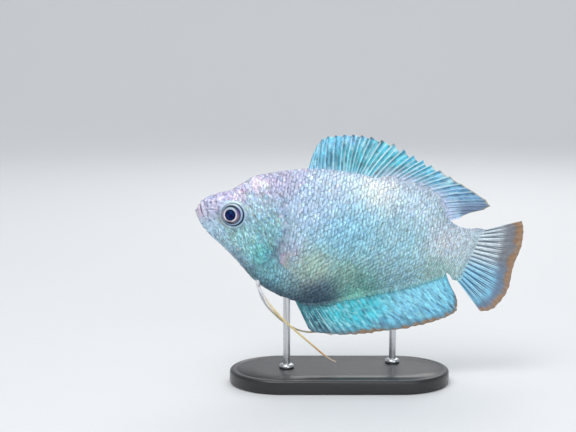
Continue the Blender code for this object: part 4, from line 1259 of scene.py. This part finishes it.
def make_eye(name, side, material):
    """An eyeball that bulges a little at its pupil."""
    shares = np.concatenate([np.linspace(0, 1, EYE_RINGS), np.linspace(0.97, 0, 12)])
    outward = np.where(np.arange(len(shares)) < EYE_RINGS, 1.0, -1.0)[:, None]
    turn = np.ones((len(shares), 1)) * np.linspace(0, 2 * math.pi, EYE_SIDES, endpoint=False)
    r = shares[:, None] * EYE_RADIUS * np.ones((1, EYE_SIDES))
    out = outward * EYE_DEPTH * np.sqrt(np.maximum(1 - shares**2, 0.0))[:, None]
    out = out + 0.10 * hump(r, 1.25) * (outward > 0)
    ds, dh = r * np.cos(turn), r * np.sin(turn)
    x, y = turned(ds, side * out, math.radians(side * EYE_FORWARD))
    points = np.stack([EYE_AT[0] + x, side * EYE_OUT + y, EYE_AT[1] + dh], -1)
    faces = ring_faces(len(shares), EYE_SIDES)[:, ::side]
    tint = with_solid(eye_colour(ds, dh)).reshape(-1, 4)
    return mesh_object(name, into_world(points.reshape(-1, 3)), faces, material, tint)


# Materials


class Wiring:
    """A new material, with short calls that add nodes to it and link them."""

    def __init__(self, name, roughness, metallic=0.0, coat=0.0, coat_roughness=0.1):
        self.material = bpy.data.materials.new(name)
        self.material.use_nodes = True
        self.tree = self.material.node_tree
        self.shader = self.tree.nodes["Principled BSDF"].inputs
        self.set(self.shader, {"Roughness": roughness, "Metallic": metallic})
        self.set(self.shader, {"Coat Weight": coat, "Coat Roughness": coat_roughness})

    def set(self, inputs, values):
        """Gives each named socket its value, or links it where the value is another node's socket."""
        for label, value in values.items():
            if isinstance(value, bpy.types.NodeSocket):
                self.tree.links.new(value, inputs[label])
            else:
                inputs[label].default_value = value

    def node(self, kind, values, **settings):
        """A new node's outputs."""
        made = self.tree.nodes.new("ShaderNode" + kind)
        for key, value in settings.items():
            setattr(made, key, value)
        self.set(made.inputs, values)
        return made.outputs

    def noise(self, size_mm, detail=3.0, stretch=None, lean=0.0):
        """Noise in the piece's own coordinates, with grains about so many millimetres across."""
        where = self.node("TexCoord", {})["Object"]
        if stretch:
            turn = (0.0, math.radians(lean), 0.0)
            where = self.node("Mapping", {"Vector": where, "Rotation": turn, "Scale": stretch})["Vector"]
        values = {"Vector": where, "Scale": 1.0 / (size_mm * MM), "Detail": detail}
        return self.node("TexNoise", values)["Fac"]

    def math(self, operation, *values):
        return self.node("Math", dict(enumerate(values)), operation=operation)[0]

    def product(self, first, *others):
        """All the numbers multiplied."""
        for other in others:
            first = self.math("MULTIPLY", first, other)
        return first

    def between(self, value, low, high, to_low, to_high):
        """A number carried smoothly from one range to another."""
        values = {"Value": value, "From Min": low, "From Max": high, "To Min": to_low, "To Max": to_high}
        return self.node("MapRange", values, interpolation_type="SMOOTHSTEP")["Result"]

    def tinted(self, factor):
        """The piece's own colours, made darker or lighter by a number; returns how solid they are."""
        tint = self.node("Attribute", {}, attribute_name="tint")
        colour = self.node("VectorMath", {0: tint["Color"], "Scale": factor}, operation="SCALE")["Vector"]
        self.set(self.shader, {"Base Color": colour})
        return tint["Alpha"]

    def bump(self, height, depth_mm):
        values = {"Strength": 1.0, "Distance": depth_mm * MM, "Height": height}
        self.set(self.shader, {"Normal": self.node("Bump", values)["Normal"]})


def skin_material():
    w = Wiring("fish_skin", 0.36, 0.12, 0.35, 0.12)
    grain = w.noise(0.35, 4.0)
    w.tinted(w.between(grain, 0.25, 0.75, 0.88, 1.10))
    w.set(w.shader, {"Roughness": w.between(w.noise(0.8), 0.3, 0.7, 0.28, 0.48)})
    w.bump(grain, 0.05)
    return w.material


def scale_material():
    """Pearly plates, each with a painted highlight streak just inside its free edge, a thin line of painted
    shade behind it, and painted shadow at its root under the plate before it.
    """
    w = Wiring("fish_scale", 0.42, 0.16, 0.05, 0.25)
    on_scale = w.node("Attribute", {}, attribute_name="on_scale")["Vector"]
    back, across, spot = w.node("SeparateXYZ", {0: on_scale})
    across = w.math("ABSOLUTE", across)
    # Painted shade: a thin dark line along the free edge, the root darker where the plate before it
    # overlaps and casts its shadow, and the sides a little darker
    edge = w.between(back, 0.84, 0.98, 1.0, 0.70)
    sides = w.between(across, 0.6, 1.0, 1.0, 0.86)
    root = w.between(back, 0.10, 0.42, 0.78, 1.0)
    # A painted highlight: a bright streak just inside the free edge, stronger on some plates than on others
    streak = w.product(
        w.between(back, 0.45, 0.68, 0.0, 1.0),
        w.between(back, 0.72, 0.90, 1.0, 0.0),
        w.between(across, 0.35, 0.8, 1.0, 0.0),
        w.between(spot, 0.1, 0.9, 0.05, 0.55),
    )
    painted_shade_and_highlight = w.math("ADD", w.product(edge, root, sides), streak)
    # Upright streaks of painted glint and darker tone run over the flank, a little finer than a scale
    upright_glints = w.noise(0.40, 2.0, (1.0, 0.5, 0.38), STREAK_LEAN)
    w.tinted(w.product(painted_shade_and_highlight, w.between(upright_glints, 0.3, 0.7, 0.76, 1.24)))
    w.set(w.shader, {"Specular IOR Level": 0.35, "Roughness": w.between(spot, 0.0, 1.0, 0.34, 0.52)})
    ridges = w.math("SINE", w.product(back, 34.0))
    w.bump(w.math("MULTIPLY_ADD", ridges, 0.3, w.noise(0.25)), 0.012)
    return w.material


def fin_material():
    w = Wiring("fish_fin", 0.42, 0.08, 0.15, 0.2)
    grain = w.noise(0.3)
    solid = w.tinted(w.between(grain, 0.3, 0.7, 0.86, 1.12))
    w.set(w.shader, {"Alpha": solid, "Roughness": w.between(grain, 0.3, 0.7, 0.34, 0.5)})
    w.bump(grain, 0.02)
    return w.material


def eye_material():
    w = Wiring("fish_eye", 0.35, 0.0, 0.06, 0.05)
    w.set(w.shader, {"Specular IOR Level": 0.06})
    w.tinted(w.between(w.noise(0.12, 2.0), 0.3, 0.7, 0.9, 1.08))
    return w.material


def base_material():
    w = Wiring("stand_black", 0.36, 0.0, 0.25, 0.12)
    grain = w.noise(0.16, 4.0)
    roughness = w.between(grain, 0.3, 0.7, 0.30, 0.46)
    w.set(w.shader, {"Base Color": (0.012, 0.012, 0.014, 1), "Roughness": roughness})
    w.bump(grain, 0.012)
    return w.material


def steel_material():
    w = Wiring("stand_steel", 0.28, 1.0)
    brushed = w.noise(1 / 9, 2.0, (1.0, 1.0, 0.06))
    values = {6: brushed, 9: (0.52, 0.53, 0.55), 10: (0.70, 0.71, 0.73)}
    colour = w.node("MapRange", values, data_type="FLOAT_VECTOR")[1]
    w.set(w.shader, {"Base Color": colour, "Roughness": w.between(brushed, 0.3, 0.7, 0.22, 0.36)})
    return w.material


# Stand


def upright_path(at, top, count):
    """So many places up a rod, from its socket in the base."""
    return [(*at, z) for z in np.linspace(BASE_HEIGHT - ROD_SOCKET_DEPTH, top, count)]


def rear_rod_path():
    """Up beside the anal fin, then bent over into the fish's right flank."""
    x, y = REAR_ROD_AT
    turn = math.radians(REAR_ROD_TURN)
    bend_from = REAR_ROD_TOP - REAR_ROD_BEND * math.sin(turn) - REAR_ROD_END * math.cos(turn)
    points = upright_path(REAR_ROD_AT, bend_from, 12)[:-1]
    for angle in np.linspace(0, turn, 16):
        inwards = REAR_ROD_BEND * (1 - math.cos(angle))
        points.append((x, y - inwards, bend_from + REAR_ROD_BEND * math.sin(angle)))
    _, last_y, last_z = points[-1]
    for share in (0.25, 0.5, 0.75, 1.0):
        end = REAR_ROD_END * share
        points.append((x, last_y - end * math.sin(turn), last_z + end * math.cos(turn)))
    return points


def lathed(profile, sides, at=(0.0, 0.0)):
    """A turned solid about an upright axis, from its profile of radius and height."""
    angles = np.linspace(0, 2 * math.pi, sides, endpoint=False)
    profile = np.asarray(profile, float)
    x = profile[:, :1] * np.cos(angles) + at[0]
    y = profile[:, :1] * np.sin(angles) + at[1]
    z = profile[:, 1:] * np.ones((1, sides))
    return np.stack([x, y, z], -1).reshape(-1, 3), ring_faces(len(profile), sides)


def make_rod(name, path, material):
    """A rod with its collar just over the base."""
    radii = np.full(len(path), ROD_RADIUS)
    rod, rod_faces, _ = tube(np.array(path), radii, (1.0, 0.0, 0.0), ROD_SIDES)
    start = BASE_HEIGHT + 0.02
    height = COLLAR_HEIGHT + GAP
    profile = [(ROD_RADIUS * 0.5, start), (COLLAR_RADIUS - 0.12, start), (COLLAR_RADIUS, start + 0.12)]
    for angle in np.linspace(0, math.pi / 2, 9):
        reach = COLLAR_RADIUS - 0.75 + 0.75 * math.cos(angle)
        profile.append((reach, start + height * 0.35 + height * 0.5 * math.sin(angle)))
    profile.append((ROD_RADIUS + 0.05, start + height * 0.86))
    profile.append((ROD_RADIUS * 0.5, start + height * 0.87))
    collar, collar_faces = lathed(profile, 64, path[0][:2])
    faces = np.concatenate([rod_faces, collar_faces + len(rod)])
    return mesh_object(name, np.concatenate([rod, collar]) * MM, faces, material)


def make_base(material):
    """A flat plate with round ends, a rounded rim and a fine groove round its top."""
    half = BASE_WIDTH / 2
    straight = BASE_LENGTH / 2 - half
    turns = [np.linspace(start, start + math.pi, 65) for start in (-math.pi / 2, math.pi / 2)]
    x, y = np.cos(turns).ravel(), np.sin(turns).ravel()
    centre = np.repeat([straight, -straight], 65)
    profile = [(0.02, 0.0), (half - BASE_BEVEL, 0.0)]
    rounds = [(BASE_BEVEL, angle) for angle in np.linspace(-math.pi / 2, 0, 7)[1:]]
    rounds += [(BASE_HEIGHT - BASE_BEVEL, angle) for angle in np.linspace(0, math.pi / 2, 9)]
    for level, angle in rounds:
        reach = half - BASE_BEVEL + BASE_BEVEL * math.cos(angle)
        profile.append((reach, level + BASE_BEVEL * math.sin(angle)))
    for inset, sunk in ((1.3, 0.0), (1.38, 0.07), (1.55, 0.10), (1.72, 0.07), (1.8, 0.0), (6.0, 0.0)):
        profile.append((half - inset, BASE_HEIGHT - sunk))
    profile.append((0.02, BASE_HEIGHT))
    rings = [np.stack([centre + r * x, r * y, np.full(len(x), z)], -1) for r, z in profile]
    points = np.concatenate(rings) * MM
    return mesh_object("stand_base_dressed", points, ring_faces(len(profile), len(x)), material)


# The whole object


def dress(obj, slot, *nodes):
    """A piece rides with the fish and stands for these nodes, which it hides; the slot is not used."""
    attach(obj, "root")
    if nodes:
        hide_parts(*nodes)


def make_fish():
    skin, scales, fin, eye = skin_material(), scale_material(), fin_material(), eye_material()
    flesh = ("head", "trunk", "tail_stem", "gill_cover_left", "gill_cover_right")
    dress(make_skin(skin), "body_skin", *flesh)
    trunk, head = trunk_places(), head_places()
    bases = (
        ("anal", fin_base_places(27.2, 57.6, 6, 0.6, 91), BOTTOM_EDGE, -1, 0.45, (84, 184, 196)),
        ("dorsal", fin_base_places(40.0, 56.0, 5, 0.58, 92), TOP_EDGE, 1, 0.5, (190, 204, 232)),
    )
    for side, label in ((-1, "left"), (1, "right")):
        dress(make_coat(f"scales_trunk_{label}", trunk, side, scales, 60 + side), "body_skin")
        dress(make_coat(f"scales_head_{label}", head, side, scales, 70 + side, 0.6, 0.12, 0.9), "head_skin")
        for fin_name, places, edge, sign, lean, fin_colour in bases:
            name = f"scales_{fin_name}_base_{label}"
            base_of = fin_base_surface(edge, sign, lean), sheath_colour(edge, sign, fin_colour)
            dress(make_coat(name, places, side, scales, 90 + side, 0.3, 0.07, base_of=base_of), "fin_blue")
        dress(make_eye(f"eye_{label}_dressed", side, eye), "eye", f"eye_{label}")
        pectoral = pectoral_fin(f"pectoral_fin_{label}_dressed", side, fin)
        dress(pectoral, "fin_clear", f"pectoral_fin_{label}")
    dress(dorsal_fin(fin), "fin_blue", "dorsal_fin")
    dress(anal_fin(fin), "fin_blue", "anal_fin")
    dress(tail_fin(fin), "tail_fin", "caudal_fin")
    threads = ("left", PELVIC_LEFT, -1, (228, 204, 146)), ("right", PELVIC_RIGHT, 1, (214, 202, 178))
    for label, guides, side, warm in threads:
        thread = pelvic_thread(f"pelvic_fin_{label}_dressed", guides, side, fin, warm)
        dress(thread, "fin_thread", f"pelvic_fin_{label}")


def make_stand():
    steel = steel_material()
    dress(make_base(base_material()), "stand_black", "stand_base")
    paths = ("front", upright_path(FRONT_ROD_AT, FRONT_ROD_TOP, 14)), ("rear", rear_rod_path())
    for label, path in paths:
        dress(make_rod(f"stand_rod_{label}_dressed", path, steel), "stand_steel", f"stand_rod_{label}")


# Studio


def area_light(name, at, aim, size, power, colour):
    """A square soft light, placed and aimed in metres."""
    data = bpy.data.lights.new(name, "AREA")
    data.size = size
    data.energy = power
    data.color = colour
    obj = bpy.data.objects.new(name, data)
    obj.location = at
    obj.rotation_euler = (Vector(aim) - Vector(at)).to_track_quat("-Z", "Y").to_euler()
    bpy.context.scene.collection.objects.link(obj)


def make_floor():
    """A pale floor that curves up into a backdrop, far behind the fish on every side."""
    rings = [(r, 0.0) for r in (0.0001, 0.1, 0.3, 0.6)]
    for angle in np.linspace(0, math.pi / 2, 16)[1:]:
        rings.append((0.6 + 0.5 * math.sin(angle), 0.5 * (1 - math.cos(angle))))
    rings.append((1.1, 1.6))
    points, faces = lathed(rings, 96)
    w = Wiring("pale_floor", 0.7)
    roughness = w.between(w.noise(2.0), 0.3, 0.7, 0.65, 0.75)
    w.set(w.shader, {"Base Color": (0.70, 0.71, 0.72, 1), "Roughness": roughness})
    floor = mesh_object("floor", points, faces, w.material)


CAMERA_UP = 8.0
CAMERA_DISTANCE = 0.300
CAMERA_AIM = (-0.0117, 0.0, 0.0382)
PIXEL_SIZE = 0.225 * MM
IMAGE_WIDTH = 576


def make_camera():
    """Looks at the fish's left side from a little above, in the photograph's framing."""
    data = bpy.data.cameras.new("camera")
    data.sensor_width = 36.0
    data.lens = data.sensor_width * CAMERA_DISTANCE / (IMAGE_WIDTH * PIXEL_SIZE)
    data.clip_start = 0.01
    up = math.radians(CAMERA_UP)
    away = Vector((0.0, -math.cos(up), math.sin(up))) * CAMERA_DISTANCE
    obj = bpy.data.objects.new("camera", data)
    obj.location = Vector(CAMERA_AIM) + away
    obj.rotation_euler = (-away).to_track_quat("-Z", "Y").to_euler()
    bpy.context.scene.collection.objects.link(obj)
    bpy.context.scene.camera = obj


def make_studio():
    make_floor()
    world = bpy.data.worlds.new("studio")
    world.use_nodes = True
    background = world.node_tree.nodes["Background"]
    background.inputs["Color"].default_value = (0.86, 0.92, 1.0, 1)
    background.inputs["Strength"].default_value = 0.48
    bpy.context.scene.world = world
    middle = (0.0, 0.0, 0.035)
    white = (1.0, 1.0, 1.0)
    lights = (
        ("overhead", (0.0, 0.0, 1.05), (0.0, 0.0, 0.0), 1.2, 4.4, white),
        ("key", (-0.12, -0.22, 0.40), middle, 0.24, 0.95, (1.0, 0.98, 0.97)),
        ("fill", (0.16, -0.42, 0.14), middle, 0.30, 0.45, (0.92, 0.97, 1.0)),
        ("back", (0.10, 0.36, 0.34), middle, 0.26, 0.6, (1.0, 0.98, 0.96)),
        ("backdrop", (0.0, 0.45, 0.75), (0.0, 1.05, 0.20), 0.5, 1.1, white),
    )
    for light in lights:
        area_light(*light)
    bpy.context.scene.view_settings.view_transform = "Standard"


make_camera()
make_studio()
make_fish()
make_stand()
